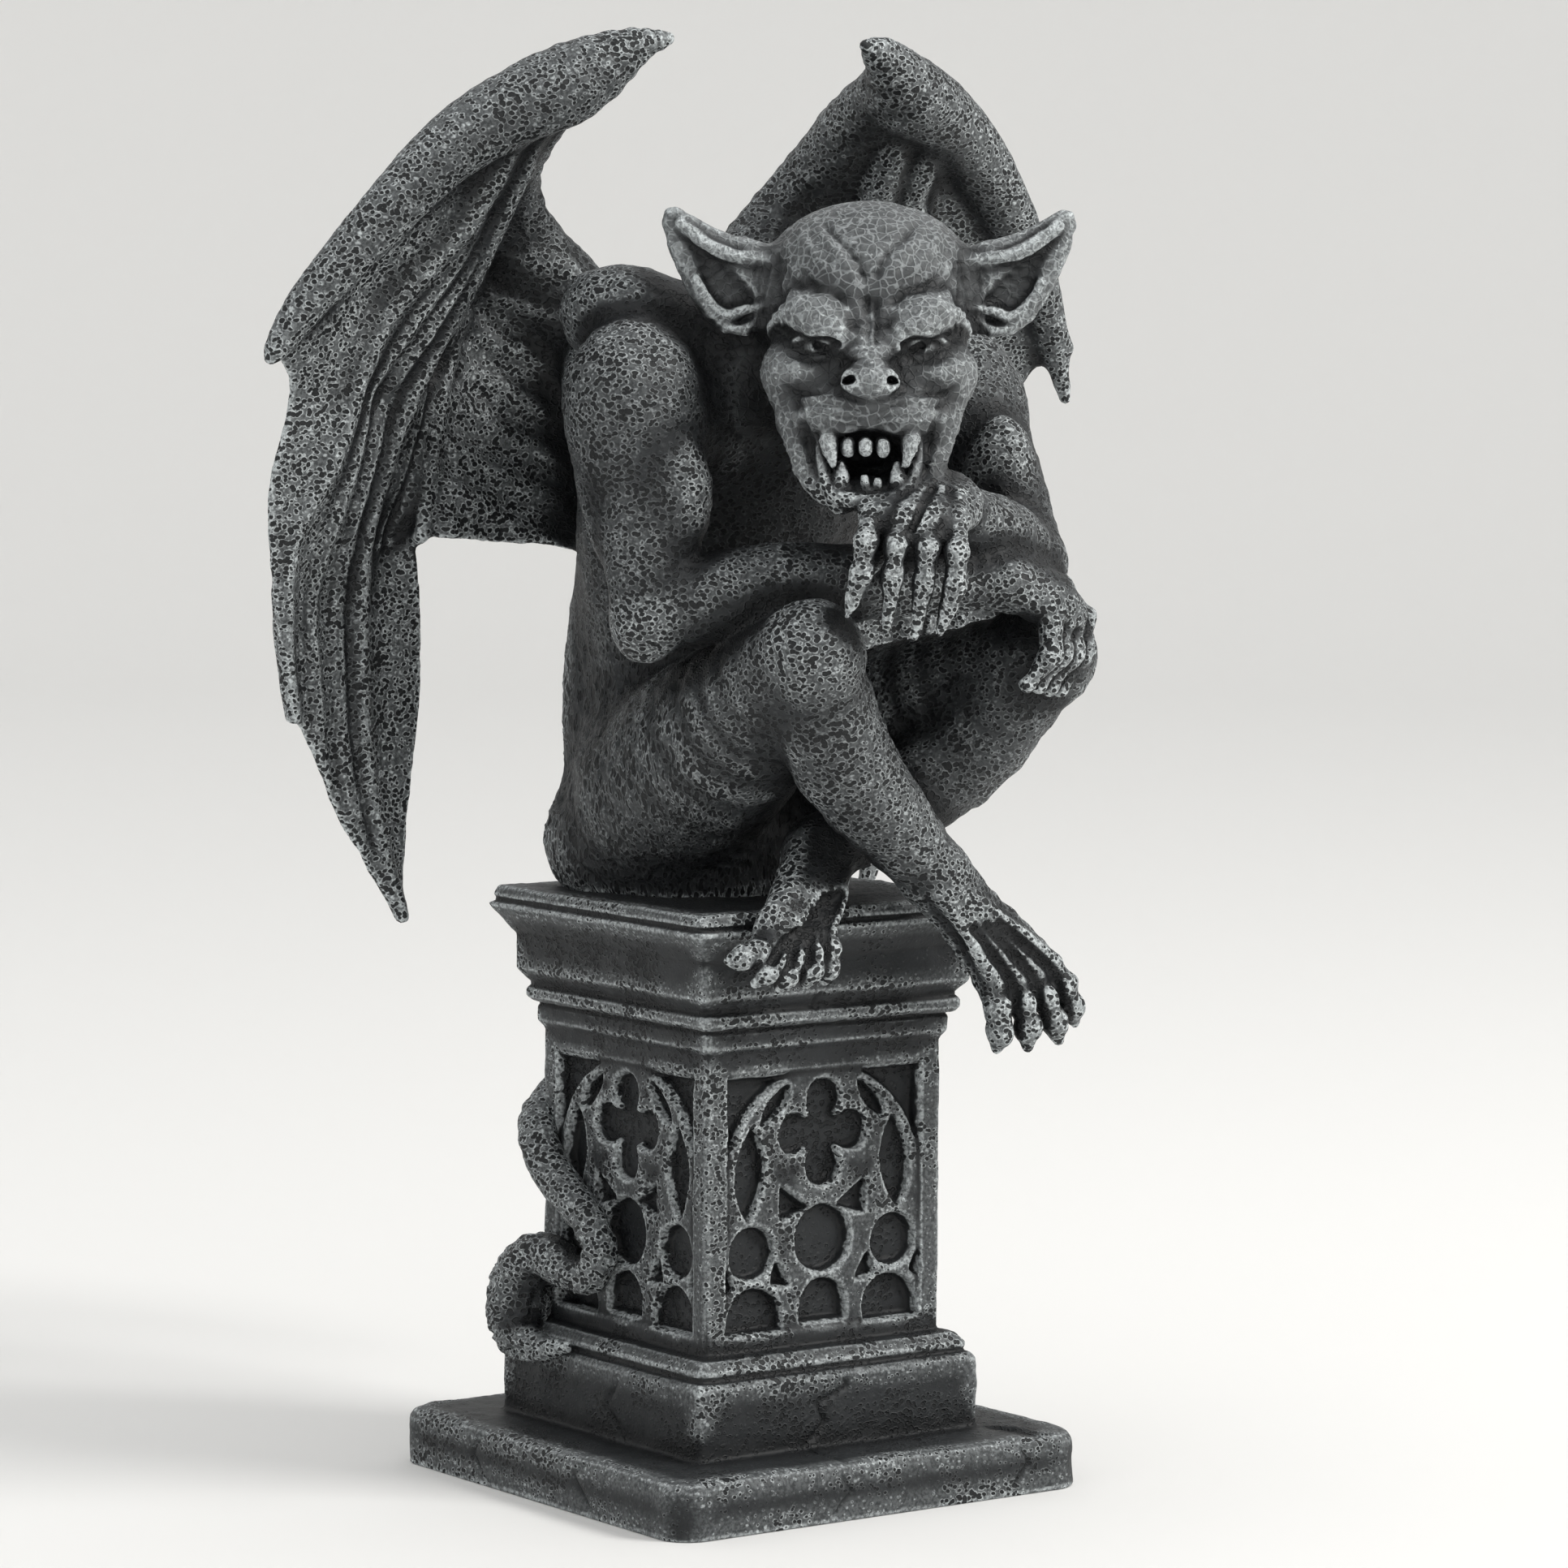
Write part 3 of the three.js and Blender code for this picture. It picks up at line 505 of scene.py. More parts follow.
def square_turned(levels, corner):
    """A square solid from its profile: [half width, z] from the bottom up."""
    points = [(0.0, levels[0][1])] + [tuple(level) for level in levels] + [(0.0, levels[-1][1])]
    points = [(-points[0][0] - 5, points[0][1])] + points + [(-5, points[-1][1])]
    widest = max(level[0] for level in levels)

    def measure(p):
        return outline_distance(points, square_measure(p, corner), p[2])

    return np.array([-widest, -widest, levels[0][1]]), np.array([widest, widest, levels[-1][1]]), measure


def tracery_distance(x, z):
    """Distance to the nearest opening of the window tracery, negative inside one."""
    x = np.abs(x)
    best = np.full(x.shape, FAR)
    for angle in range(0, 360, 90):
        lx, lz = 6.9 * math.cos(math.radians(angle)), 76 + 6.9 * math.sin(math.radians(angle))
        best = np.minimum(best, np.hypot(x - lx, z - lz) - 4)
    best = join_soft(best, np.hypot(x, z - 76) - 4.6, 1.0)
    best = np.minimum(best, np.hypot(x, z - 54) - 6.8)
    best = np.minimum(best, np.hypot(x - 18, z - 52.2) - 5.3)
    for cx, half, bottom, top in ((0, 5.6, 37, 45.6), (17.3, 6.6, 36, 44.8)):
        head = np.maximum(np.hypot(x - cx, (z - top + half) * 1.0) - half, bottom - z)
        box = np.maximum(np.abs(x - cx) - half, np.maximum(bottom - z, z - top + half))
        best = np.minimum(best, np.minimum(head, box))
    for cx, cz, half, rise, lean in ((18.6, 68.6, 3.4, 9.2, -0.06), (12.2, 82.2, 1.9, 4.0, -0.8)):
        radius = (rise * rise + half * half) / (2 * half)
        u = x - cx - lean * (z - cz)
        lens = np.maximum(np.hypot(u - radius + half, z - cz), np.hypot(u + radius - half, z - cz)) - radius
        best = np.minimum(best, lens)
    for corners in (((4.4, 60.6), (10.4, 64.8), (10.2, 59)), ((9.2, 45.2), (11.6, 49.4), (12.6, 45.8)),
                    ((23.2, 45.6), (24.6, 48.6), (24.6, 44.6))):
        best = np.minimum(best, outline_distance(list(corners), x, z) - 0.3)
    corner = np.maximum(np.maximum(x - PANEL_HALF + 0.9, z - ARCH_SPRING - ARCH_RADIUS + 1.4),
                        np.maximum(ARCH_RADIUS + 0.6 - np.hypot(x, z - ARCH_SPRING), ARCH_SPRING - z))
    return np.minimum(best, corner)


def tracery_map():
    """How deep the face of the shaft is carved, over one face."""
    face = Map((-SHAFT_HALF - 4, SHAFT_TOP - 62), (SHAFT_HALF + 4, SHAFT_TOP + 2), 0.25)
    hole = tracery_distance(face.x, face.z)
    panel = np.maximum(np.abs(face.x) - PANEL_HALF, np.abs(face.z - (PANEL_BOTTOM + ARCH_SPRING + ARCH_RADIUS) / 2)
                       - (ARCH_SPRING + ARCH_RADIUS - PANEL_BOTTOM) / 2)
    shoulder = np.clip(1 - hole / 1.5, 0, 1)
    bars = PANEL_DEPTH * (0.55 + 0.9 * (1 - np.sqrt(1 - 0.96 * shoulder ** 2)))
    wall = np.clip(0.35 - hole, 0, 0.7) / 0.7
    depth = bars + (TRACERY_DEPTH - bars) * wall * wall * (3 - 2 * wall)
    edge = np.clip(-panel / 0.7, 0, 1)
    return face, np.where(panel < 0, depth * edge, 0).astype(np.float32)


def carved_shaft():
    """What the tracery takes off the shaft's four faces."""
    face, depth = tracery_map()

    def measure(p):
        on_x = np.abs(p[0]) > np.abs(p[1])
        along = np.where(on_x, p[1] * np.sign(p[0]), -p[0] * np.sign(p[1]))
        carved = face.read(depth, along, p[2])
        half = np.maximum(np.abs(p[0]), np.abs(p[1]))
        return np.where(carved > 0.02, -(half - SHAFT_HALF + carved) * 0.8, FAR)

    reach = SHAFT_HALF + 0.5
    return np.array([-reach, -reach, PANEL_BOTTOM]), np.array([reach, reach, ARCH_SPRING + ARCH_RADIUS]), measure


SLAB_LEVELS = [(SLAB_HALF, 0), (SLAB_HALF, SLAB_TOP - 2.2), (SLAB_HALF - 0.7, SLAB_TOP - 0.7),
               (SLAB_HALF - 2.2, SLAB_TOP)]
COLUMN_LEVELS = [
    (BLOCK_HALF, SLAB_TOP - 2), (BLOCK_HALF, BLOCK_TOP - 1.2), (BLOCK_HALF - 1, BLOCK_TOP),
    (TORUS_HALF - 0.8, BLOCK_TOP + 0.2), (TORUS_HALF, BLOCK_TOP + 1), (TORUS_HALF, BLOCK_TOP + 2),
    (TORUS_HALF - 1.6, TORUS_TOP - 0.3), (SHAFT_HALF, TORUS_TOP + 0.3), (SHAFT_HALF, SHAFT_TOP),
    (NECK_HALF, SHAFT_TOP + 1.5), (NECK_HALF, SHAFT_TOP + 4.6), (NECK_HALF - 0.7, SHAFT_TOP + 5.5),
    (RING_HALF - 1, RING_TOP - 4.3), (RING_HALF, RING_TOP - 3.2), (RING_HALF, RING_TOP - 1.6),
    (RING_HALF - 1, RING_TOP - 0.4), (FRIEZE_HALF - 1.8, RING_TOP + 0.3), (FRIEZE_HALF, RING_TOP + 2.6),
    (FRIEZE_HALF, FRIEZE_TOP - 0.2), (FRIEZE_HALF + 0.4, FRIEZE_TOP), (CAP_HALF - 0.6, FRIEZE_TOP + 4.6),
    (CAP_HALF, FRIEZE_TOP + 6), (CAP_HALF - 1.4, FRIEZE_TOP + 6.8), (CAP_HALF - 0.7, CAP_TOP - 2),
    (CAP_HALF - 1.6, CAP_TOP),
]


def plinth_field():
    field = Field()
    field.join(square_turned(SLAB_LEVELS, SLAB_CORNER), 0.01)
    field.join(square_turned(COLUMN_LEVELS, EDGE_CORNER), 0.8)
    field.cut(carved_shaft(), 0.35)
    return field


# Cracks on the front, right, back and left faces: face number, depth, and a line of (along, z).
CRACKS = [
    (0, 0.9, [(-9, 12.5), (-4, 17), (-6, 21), (2, 24), (0, 27)]),
    (0, 0.8, [(-14, 1), (-9, 6), (-12, 10)]),
    (0, 0.8, [(33, 2), (37, 7), (34, 11), (41, 12)]),
    (0, 0.7, [(-3, 100), (-5, 104), (-2, 108), (-6, 113), (-4, 118)]),
    (0, 0.5, [(-19, 103), (-17, 109), (-21, 113)]),
    (3, 0.8, [(20, 2), (14, 8), (18, 11)]),
    (3, 0.7, [(-18, 1), (-23, 6), (-20, 11)]),
    (3, 0.6, [(8, 14), (3, 19), (7, 24)]),
    (1, 0.8, [(-6, 2), (-1, 8), (-8, 11)]),
    (1, 0.6, [(10, 13), (14, 19), (9, 26)]),
    (2, 0.7, [(20, 13), (24, 19), (18, 26)]),
]


def face_places(p, face):
    """Along and outward places on one face of the plinth: 0 looks to -Y, 1 to +X, 2 to +Y and 3 to -X."""
    return ((p[0], -p[1]), (p[1], p[0]), (-p[0], p[1]), (-p[1], -p[0]))[face]


def plinth_relief(p, slope):
    height = 0.2 * noise(p, 7, 1) + 0.14 * noise(p, 2.6, 2) + 0.08 * noise(p, 1.3, 3) - 0.1
    for face, depth, line in CRACKS:
        along, out = face_places(p, face)
        wander = 0.5 * noise(p, 2.2, 9)
        d, _ = line_distance(line, along + wander, p[2])
        other = face_places(p, (face + 1) % 4)[1]
        height -= depth * np.exp(-(d / 0.55) ** 2) * (out > np.abs(other))
    return height * (p[2] > 0.6)


# Figure

def torso(field):
    field.join(column([
        (0, 11, 119, 25, 22), (0, 11, 134, 26, 23), (0, 13, 150, 28, 24), (0, 14, 168, 26, 22),
        (0, 11, 190, 30, 25), (1, 5, 210, 35, 27), (1, -3, 228, 38, 27), (1, -9, 246, 30, 22),
    ]), 1)
    field.join(limb([(0, 2, 234, 21, 17), (0, -18, 240, 18, 16), (0, -34, 240, 16, 15)], over=(0, 0, 1)), 8)
    for side in (-1, 1):
        field.join(lump((side * 30, -3, 241), (17, 15, 11), (0, -side * 25, -side * 20)), 7)
        field.join(lump((side * 17, 24, 222), (12, 7, 17), (-14, side * 10, -side * 12)), 6)
        field.join(lump((side * 13, 29, 165), (11, 8, 30), (4, 0, 0)), 8)
        field.join(lump((side * 22, -14, 222), (14, 12, 12)), 6)
        field.join(lump((side * 17, 22, 133), (15, 15, 14)), 8)
    spine = [(0, 37.5, 134), (0, 38.5, 150), (0, 37.5, 168), (0, 37.5, 190), (0, 33.5, 210), (0, 25.5, 228),
             (0, 12, 244)]
    field.cut(limb([(x, y + 2.5, z, 3.2) for x, y, z in spine]), 4)
    for place in smooth_path(spine, 3)[1:-2]:
        field.join(lump(place - np.array([0, 1.2, 0]), (2.6, 2.4, 2.6)), 2)


def arm(field, shoulder, elbow, wrist, side, sag):
    s, e, w = (np.array(v, dtype=float) for v in (shoulder, elbow, wrist))
    middle = (s + e) / 2
    fore = e + (w - e) * 0.35 + (0, 0, sag)
    field.join(lump(s - (0, 0, 6), (14.5, 14, 19), (0, side * 6, 0)), 6)
    field.join(limb([(*s, 11), (*middle, 10.5), (*e, 8)]), 5)
    field.join(lump(middle + (-side * 3, -6, 0), (7.5, 8, 13), (8, 0, 0)), 3)
    field.join(lump(middle + (side * 2, 6, 1), (8, 7, 15), (-6, 0, 0)), 3)
    field.join(limb([(*e, 8), (*fore, 8.9), (*w, 5.4)]), 3)
    field.join(lump(e + (0, 3, -4), (5.5, 6, 6)), 4)


def digit(field, points, radius, claw=0.3):
    """A finger or toe with swollen joints, ending in a pointed claw. Beyond its root it keeps clear of others."""
    base, first, second, tip = (np.array(v, dtype=float) for v in points)
    nail = second + (tip - second) * 0.3
    field.join(limb([(*base, radius * 0.95), (*((base + first) / 2), radius * 0.92), (*first, radius)]), 1.2)
    outer = [(*first, radius * 1.1), (*((first + second) / 2), radius * 0.84), (*second, radius * 1.04),
             (*nail, radius * 0.78)]
    field.join(limb(outer), 0.35)
    middle = (nail + tip) / 2
    field.join(limb([(*nail, radius * 0.74), (*middle, radius * 0.62), (*tip, radius * claw)]), 0.25)


def groove(field, places, radius=0.9, blend=1.4):
    field.cut(limb([(*place, radius) for place in places]), blend)


# Left hand: knuckle and joints of the first finger, the step to each next finger, and the claws' tips.
LEFT_KNUCKLE, LEFT_KNUCKLE_STEP = (-16.8, -66, 204.6), (4.7, -3, -0.5)
LEFT_FIRST, LEFT_FIRST_STEP = (-21.9, -71, 199.3), (5.2, -3, -0.6)
LEFT_SECOND, LEFT_SECOND_STEP = (-22.9, -71, 193.3), (5.3, -3, -0.9)
LEFT_TIPS = [(-24.2, -68, 184.6), (-17.5, -72, 181.6), (-12.8, -75, 180.3), (-8.9, -78, 181.4)]
FINGER = 2.35


def left_hand(field):
    wrist = np.array(WRIST_L, dtype=float)
    field.join(limb([(*wrist, 6, 5), (0, -66, 206.5, 9, 5.4), (-9, -70, 204.4, 9, 4.4)], over=(-0.2, -0.5, 0.8)), 3)
    row = [np.array(LEFT_KNUCKLE) + np.array(LEFT_KNUCKLE_STEP) * k for k in range(4)]
    field.join(limb([(*row[0], 2.8), (*row[3], 2.8)]), 2)
    for k, tip in enumerate(LEFT_TIPS):
        first = np.array(LEFT_FIRST) + np.array(LEFT_FIRST_STEP) * k
        second = np.array(LEFT_SECOND) + np.array(LEFT_SECOND_STEP) * k
        digit(field, (row[k], first, second, tip), FINGER)
        field.join(limb([(*row[k], 2.3), (*(row[k] * 0.5 + wrist * 0.5 + (-1, -4, 3)), 1.4)]), 1.4)
    for here, following in zip(row, row[1:]):
        web = (here + following) / 2
        back = web * 0.6 + wrist * 0.4 + (-1, -3.4, 5)
        groove(field, [web + (-4, -4.6, -2), web + (0, -3.4, 3.2), back], 0.7, 1.2)
    digit(field, ((0, -61, 203), (-8, -61, 199), (-13, -63, 196), (-17, -65, 193)), 2.7)


def right_hand(field):
    wrist = np.array(WRIST_R, dtype=float)
    field.join(limb([(*wrist, 6, 5), (28, -61, 188.5, 8.5, 5), (33, -59, 186, 9, 4.6)], over=(0.1, -0.5, 0.8)), 3)
    for k in range(4):
        x, y = 26 + 4.6 * k, -62 + 2.2 * k
        joints = ((x, y, 187.8), (x + 2.4, y - 4.2, 182), (x + 1, y - 6, 175.5), (x - 4, y - 5, 169.5 - 0.5 * k))
        digit(field, joints, 2.6, 0.7)
        field.join(limb([(x, y - 0.5, 188.6, 2.2), (*(wrist * 0.6 + np.array((x, y, 191)) * 0.4), 1.5)]), 1.4)


def leg(field, hip, knee, ankle, calf_pull):
    h, k, a = (np.array(v, dtype=float) for v in (hip, knee, ankle))
    calf = k + (a - k) * 0.4 + calf_pull
    rows = [(*h, 19), (*(h + (k - h) * 0.35), 18.6), (*(h + (k - h) * 0.7), 13.8), (*k, 10.6)]
    field.join(limb(rows), 6)
    field.join(lump(k + (0, -3, 1), (9, 8, 10)), 3)
    field.join(limb([(*k, 10), (*calf, 10.6), (*a, 6.6)]), 2.2)


def foot(field, ankle, ball, toe_tips, radius, spread_wide):
    """A foot that hangs over the cap's edge, with tendons from the ankle to each toe and grooves between them."""
    a, b = np.array(ankle, dtype=float), np.array(ball, dtype=float)
    middle = (a + b) / 2
    field.join(limb([(*a, 7, 7), (*middle, 7.6, 5), (*b, 9.4, 4.2)], over=(0, -1, 0)), 3)
    roots = []
    for k, tip in enumerate(toe_tips):
        tip = np.array(tip, dtype=float)
        spread = k / (len(toe_tips) - 1) - 0.5
        root = b + (spread * spread_wide, 0.5, spread * 3)
        first = root + (tip - root) * 0.38 + (0, -2.6, 0)
        second = root + (tip - root) * 0.72 + (0, -1.8, 0)
        digit(field, (root, first, second, tip), radius, 0.4)
        start = a + (spread * 6, -5.4, -3)
        halfway, end = (start + root) / 2 + (0, -2.4, 0), root + (0, -2.6, 0)
        field.join(limb([(*start, 1.4), (*halfway, 1.6), (*end, 2.2)]), 1.6)
        roots.append((start, root, first))
    for (s0, r0, f0), (s1, r1, f1) in zip(roots, roots[1:]):
        top = (s0 + s1) / 2 * 0.6 + (r0 + r1) / 2 * 0.4 + (0, -3.4, 0)
        groove(field, [top, (r0 + r1) / 2 + (0, -4.6, 0), (f0 + f1) / 2 + (0, -2, -1)])


TAIL = [(0, 31, 131, 8), (2, 41, 118, 6.2), (2, 40, 103, 5.2), (-6, 36, 92, 4.8), (-19, 34.5, 82, 4.4),
        (-29, 31.5, 75, 4.2), (-33.4, 26, 70, 4.2), (-33.7, 21, 64.5, 4.2), (-33.4, 14.5, 60, 4),
        (-33.2, 8, 55.5, 3.8), (-33, 4, 50, 3.6), (-33, 6, 45, 3.6), (-33.2, 11, 43.8, 3.8), (-34, 18, 46, 4.2)]
TUFT = [(-34, 16, 45.4, 3.8), (-34.4, 24, 46, 5), (-34.4, 30, 41, 6.4), (-34.6, 31.5, 34, 6.8), (-36, 29, 29, 5.2),
        (-37.4, 21, 27.6, 3.2), (-37, 10, 29, 1)]

# Wings: places are [distance from the middle plane, y, z], on the right at -X and mirrored on the left.
WING_SPAR = [(25, -7, 299, 1.2), (32, -4, 297, 4.2), (43, 1, 290, 8), (56, 5, 284, 7.6), (69, 9, 275, 6.6),
             (81, 13, 262, 5.6), (91, 17, 250, 4.6), (98, 20, 241, 3.2), (102, 21, 234, 1.2)]
WING_ARM = [(10, 24, 222, 12), (17, 34, 242, 9.5), (32, 37, 259, 8), (40, 31, 272, 7.5), (42, 19, 283, 7.5),
            (40, 6, 290, 6)]
LEFT_TIP_DROP = 9
FINGERS = [
    [(62, 8, 278), (80, 14, 262), (92, 19, 247), (101, 21, 236)],
    [(53, 7, 281), (57, 19, 262), (74, 25, 241), (84, 28, 213), (92, 30, 198), (92.5, 32, 178), (90, 33, 161)],
    [(46, 10, 282), (50, 26, 254), (62, 33, 226), (71, 37, 195), (70, 39, 160), (66, 39, 135), (60.5, 38, 118)],
    [(39, 30, 270), (46, 38, 246), (53, 38, 220), (58, 35, 197)],
    [(24, 31, 250), (20, 37, 226), (18, 36, 210), (15, 32, 193)],
]
HEMS = [
    [(94, 27, 227), (98.5, 35, 206), (95, 34, 183)],
    [(85, 34, 156), (75, 37, 138)],
    [(57.5, 38, 141), (54.5, 38, 168)],
    [(46, 36, 196), (31, 36, 195)],
]
MEMBRANE_SAG = 4.5
MEMBRANE_HALF = 1.6


def wing_outline():
    """The edge of the membrane, seen from the front: (distance from the middle, z)."""
    edge = [(p[0], p[2]) for p in FINGERS[0]]
    for finger, hem, following in zip(FINGERS, HEMS, FINGERS[1:]):
        span = [finger[-1], *hem, following[-1]]
        edge += [(p[0], p[2]) for p in smooth_path(span, 4)[1:]]
    edge += [(p[0], p[2]) for p in reversed(FINGERS[-1][:-1])]
    return [tuple(map(float, p)) for p in edge + [(39, 276), (50, 286)]]


def thin_plate(points, heights, x, z):
    """A smooth sheet through heights at scattered places."""
    def kernel(d2):
        return d2 * np.log(d2 + 1e-6)
    count = len(points)
    pairs = ((points[:, None] - points[None]) ** 2).sum(axis=2)
    system = np.zeros((count + 3, count + 3))
    system[:count, :count] = kernel(pairs) + np.eye(count) * 30
    system[:count, count] = system[count, :count] = 1
    system[:count, count + 1:] = points
    system[count + 1:, :count] = points.T
    weights = np.linalg.solve(system, np.concatenate([heights, np.zeros(3)]))
    total = weights[count] + weights[count + 1] * x + weights[count + 2] * z
    for weight, (px, pz) in zip(weights, points):
        total = total + weight * kernel((x - px) ** 2 + (z - pz) ** 2)
    return total


def wing_maps():
    """Where the membrane lies, how steep it is and how far its edge is, over a front view of the wing."""
    view = Map((5, 108), (110, 304), 0.5)
    rows = [row for finger in FINGERS for row in smooth_path(finger, 3)]
    for finger, following in zip(FINGERS, FINGERS[1:]):
        here, there = smooth_path(finger, 4), smooth_path(following, 4)
        for v in (0.15, 0.4, 0.65, 0.85):
            a, b = (path[int(v * (len(path) - 1))] for path in (here, there))
            rows.append((a + b) / 2 + (0, MEMBRANE_SAG * math.sin(math.pi * v), 0))
    rows = np.array(rows)
    depth = thin_plate(rows[:, [0, 2]], rows[:, 1], view.x, view.z)
    folds = np.zeros(view.x.shape)
    for k in range(9):
        start = (47 + 1.5 * k, 262 - 8.5 * k)
        line = [start, (start[0] - 9, start[1] - 5.5), (start[0] - 20, start[1] - 9 - k * 0.5),
                (start[0] - 34, start[1] - 17)]
        d, along = line_distance(line, view.x, view.z)
        folds += (1.5 - 0.06 * k) * np.exp(-(d / 1.9) ** 2) * np.sin(np.pi * np.clip(along, 0.03, 1)) ** 0.5
    for finger, following in zip(FINGERS[1:3], FINGERS[2:4]):
        here, there = smooth_path(finger, 3), smooth_path(following, 3)
        for u in (0.35, 0.68):
            count = min(len(here), len(there))
            line = [tuple((here[i] * (1 - u) + there[int(i * (len(there) - 1) / (count - 1))] * u)[[0, 2]])
                    for i in range(count)]
            d, along = line_distance(line, view.x, view.z)
            folds += 1.1 * np.exp(-(d / 1.5) ** 2) * np.clip(along * 4, 0, 1)
    depth = depth - folds
    edge = outline_distance(wing_outline(), view.x, view.z)
    gx, gz = np.gradient(depth, view.step)
    steep = 1 / np.sqrt(1 + gx * gx + gz * gz)
    return view, [a.astype(np.float32) for a in (depth, steep, edge)]


def membrane(side, view, maps):
    depth, steep, edge = maps

    def measure(p):
        x = p[0] * side
        level = view.read(depth, x, p[2])
        lean = view.read(steep, x, p[2])
        border = view.read(edge, x, p[2])
        half = MEMBRANE_HALF * (0.55 + 0.45 * np.clip(-border / 6, 0, 1))
        sheet = np.abs(p[1] - level) * lean - half
        return -join_soft(-sheet, -border, 1.2)

    low, high = np.array([15, -5, 117]), np.array([103, 42, 288])
    if side < 0:
        low[0], high[0] = -103, -15
    return low, high, measure


def wing(field, side, view, maps):
    spar = [list(row) for row in WING_SPAR]
    if side > 0:
        spar[-1][2] -= LEFT_TIP_DROP
        spar[-2][2] -= LEFT_TIP_DROP / 2
    field.join(membrane(side, view, maps), 3)
    field.join(limb([(side * x, y, z, r) for x, y, z, r in spar]), 3)
    field.join(limb([(side * x, y, z, r) for x, y, z, r in WING_ARM]), 5)
    for finger in FINGERS[:4]:
        path = smooth_path(finger, 3)
        v = np.linspace(0, 1, len(path))
        bone = [(side * row[0], row[1] - 0.5, row[2], 3.1 * (1 - 0.66 * t)) for row, t in zip(path, v)]
        field.join(limb(bone, steps=1), 3)
        crest = [(side * row[0], row[1] - 2.9 + 1.6 * t, row[2], 0.9) for row, t in zip(path, v)]
        field.join(limb(crest, steps=1), 1.6)


# Head: places are [right, forward, up] from the head's centre, before the head is turned.
HEAD_AXES = np.array(Matrix.Rotation(HEAD_TURN, 3, "Z")) @ np.diag([1.0, -1.0, 1.0])


def head_place(place):
    return np.array(HEAD) + HEAD_AXES @ np.array(place, dtype=float)


def head_local(p):
    return HEAD_AXES.T @ (p - np.array(HEAD)[:, None])


def head_lump(centre, half, turn=(0, 0, 0)):
    return lump(head_place(centre), half, turn, HEAD_AXES)


def head_limb(stations, over=None, steps=3):
    rows = [(*head_place(row[:3]), *row[3:]) for row in stations]
    return limb(rows, None if over is None else HEAD_AXES @ np.array(over, dtype=float), steps)


def head_plate(outline, middle, lean, half, rounding):
    """A flat ear-like plate: an outline of (right, up), at a forward place that leans with the way out."""
    points = [tuple(map(float, q)) for q in outline]
    corners = np.stack([head_place((x, f, u)) for x, u in points for f in (middle - 8, middle + 8)])

    def measure(p):
        q = head_local(p)
        border = outline_distance(points, q[0], q[2])
        sheet = np.abs(q[1] - middle - lean * (np.abs(q[0]) - 20)) - half
        return -join_soft(-sheet, -border, rounding)

    return corners.min(axis=0), corners.max(axis=0), measure


EAR = [(18, 19.4), (23.4, 21.4), (27.3, 22.2), (31.4, 23.7), (35, 25.6), (38.6, 27.7), (40.8, 27.3), (41.4, 24.6),
       (40.5, 20.4), (38.5, 15.5), (36, 10.4), (33, 5.8), (29, 2.8), (24.5, 2.2), (19, 4)]


def head(field):
    field.join(head_lump((0, -4, 9), (21.5, 24, 19)), 5)
    field.join(head_lump((0, -1, 15.5), (19.5, 19, 12.5)), 5)
    field.join(head_lump((0, 5, -6), (19.5, 17, 17)), 5)
    field.join(head_lump((0, 5, -15), (18.5, 14, 10)), 4)
    field.join(head_lump((0, 15.5, -11.5), (13, 10.5, 7.5)), 3)
    field.join(head_lump((0, 15.5, -27), (9.6, 9.5, 5.4)), 3)
    for side in (-1, 1):
        field.join(head_lump((side * 14.5, 12, -5), (7, 8, 6.5)), 4)
        field.join(head_lump((side * 7, 18.6, -13), (8.2, 6.6, 5)), 3)
        jaw = [(side * 15.6, 13.5, -9, 4), (side * 13.6, 16.2, -18, 3.8), (side * 10.2, 18.6, -26, 3.2),
               (side * 5.5, 21.4, -30.4, 2.4)]
        field.join(head_limb(jaw), 3)
        brow(field, side)
        ear(field, side)
        eye(field, side)
    field.join(head_limb([(0, 20, 5, 2.6), (0, 23.4, -1, 3.1), (0, 25.2, -5, 3.3)]), 3)
    field.join(head_lump((0, 25.4, -6.4), (5.8, 3.6, 3.3)), 1.6)
    for side in (-1, 1):
        nostril = [(side * 4.4, 29.6, -6.4, 1.3), (side * 3.9, 28.8, -8.4, 1.5), (side * 2.1, 28.2, -10.6, 1.1)]
        field.cut(head_limb(nostril), 0.7)
        field.cut(head_lump((side * 4.3, 26.8, -6.2), (1.4, 3.4, 0.9), (0, side * 20, 0)), 0.3)
    mouth(field)


def brow(field, side):
    field.join(head_limb([(side * 3.6, 22, 0.6, 1.9), (side * 8, 21.6, 4, 3.4), (side * 12.6, 18.6, 6.6, 3.9),
                          (side * 17, 13.4, 6, 2.2), (side * 19.4, 8, 3.6, 1.2)]), 2.8)
    field.join(head_limb([(side * 5, 20.6, 7, 1.4), (side * 9.5, 19, 9.4, 1.6), (side * 14.5, 14.6, 10, 0.8)]), 3)


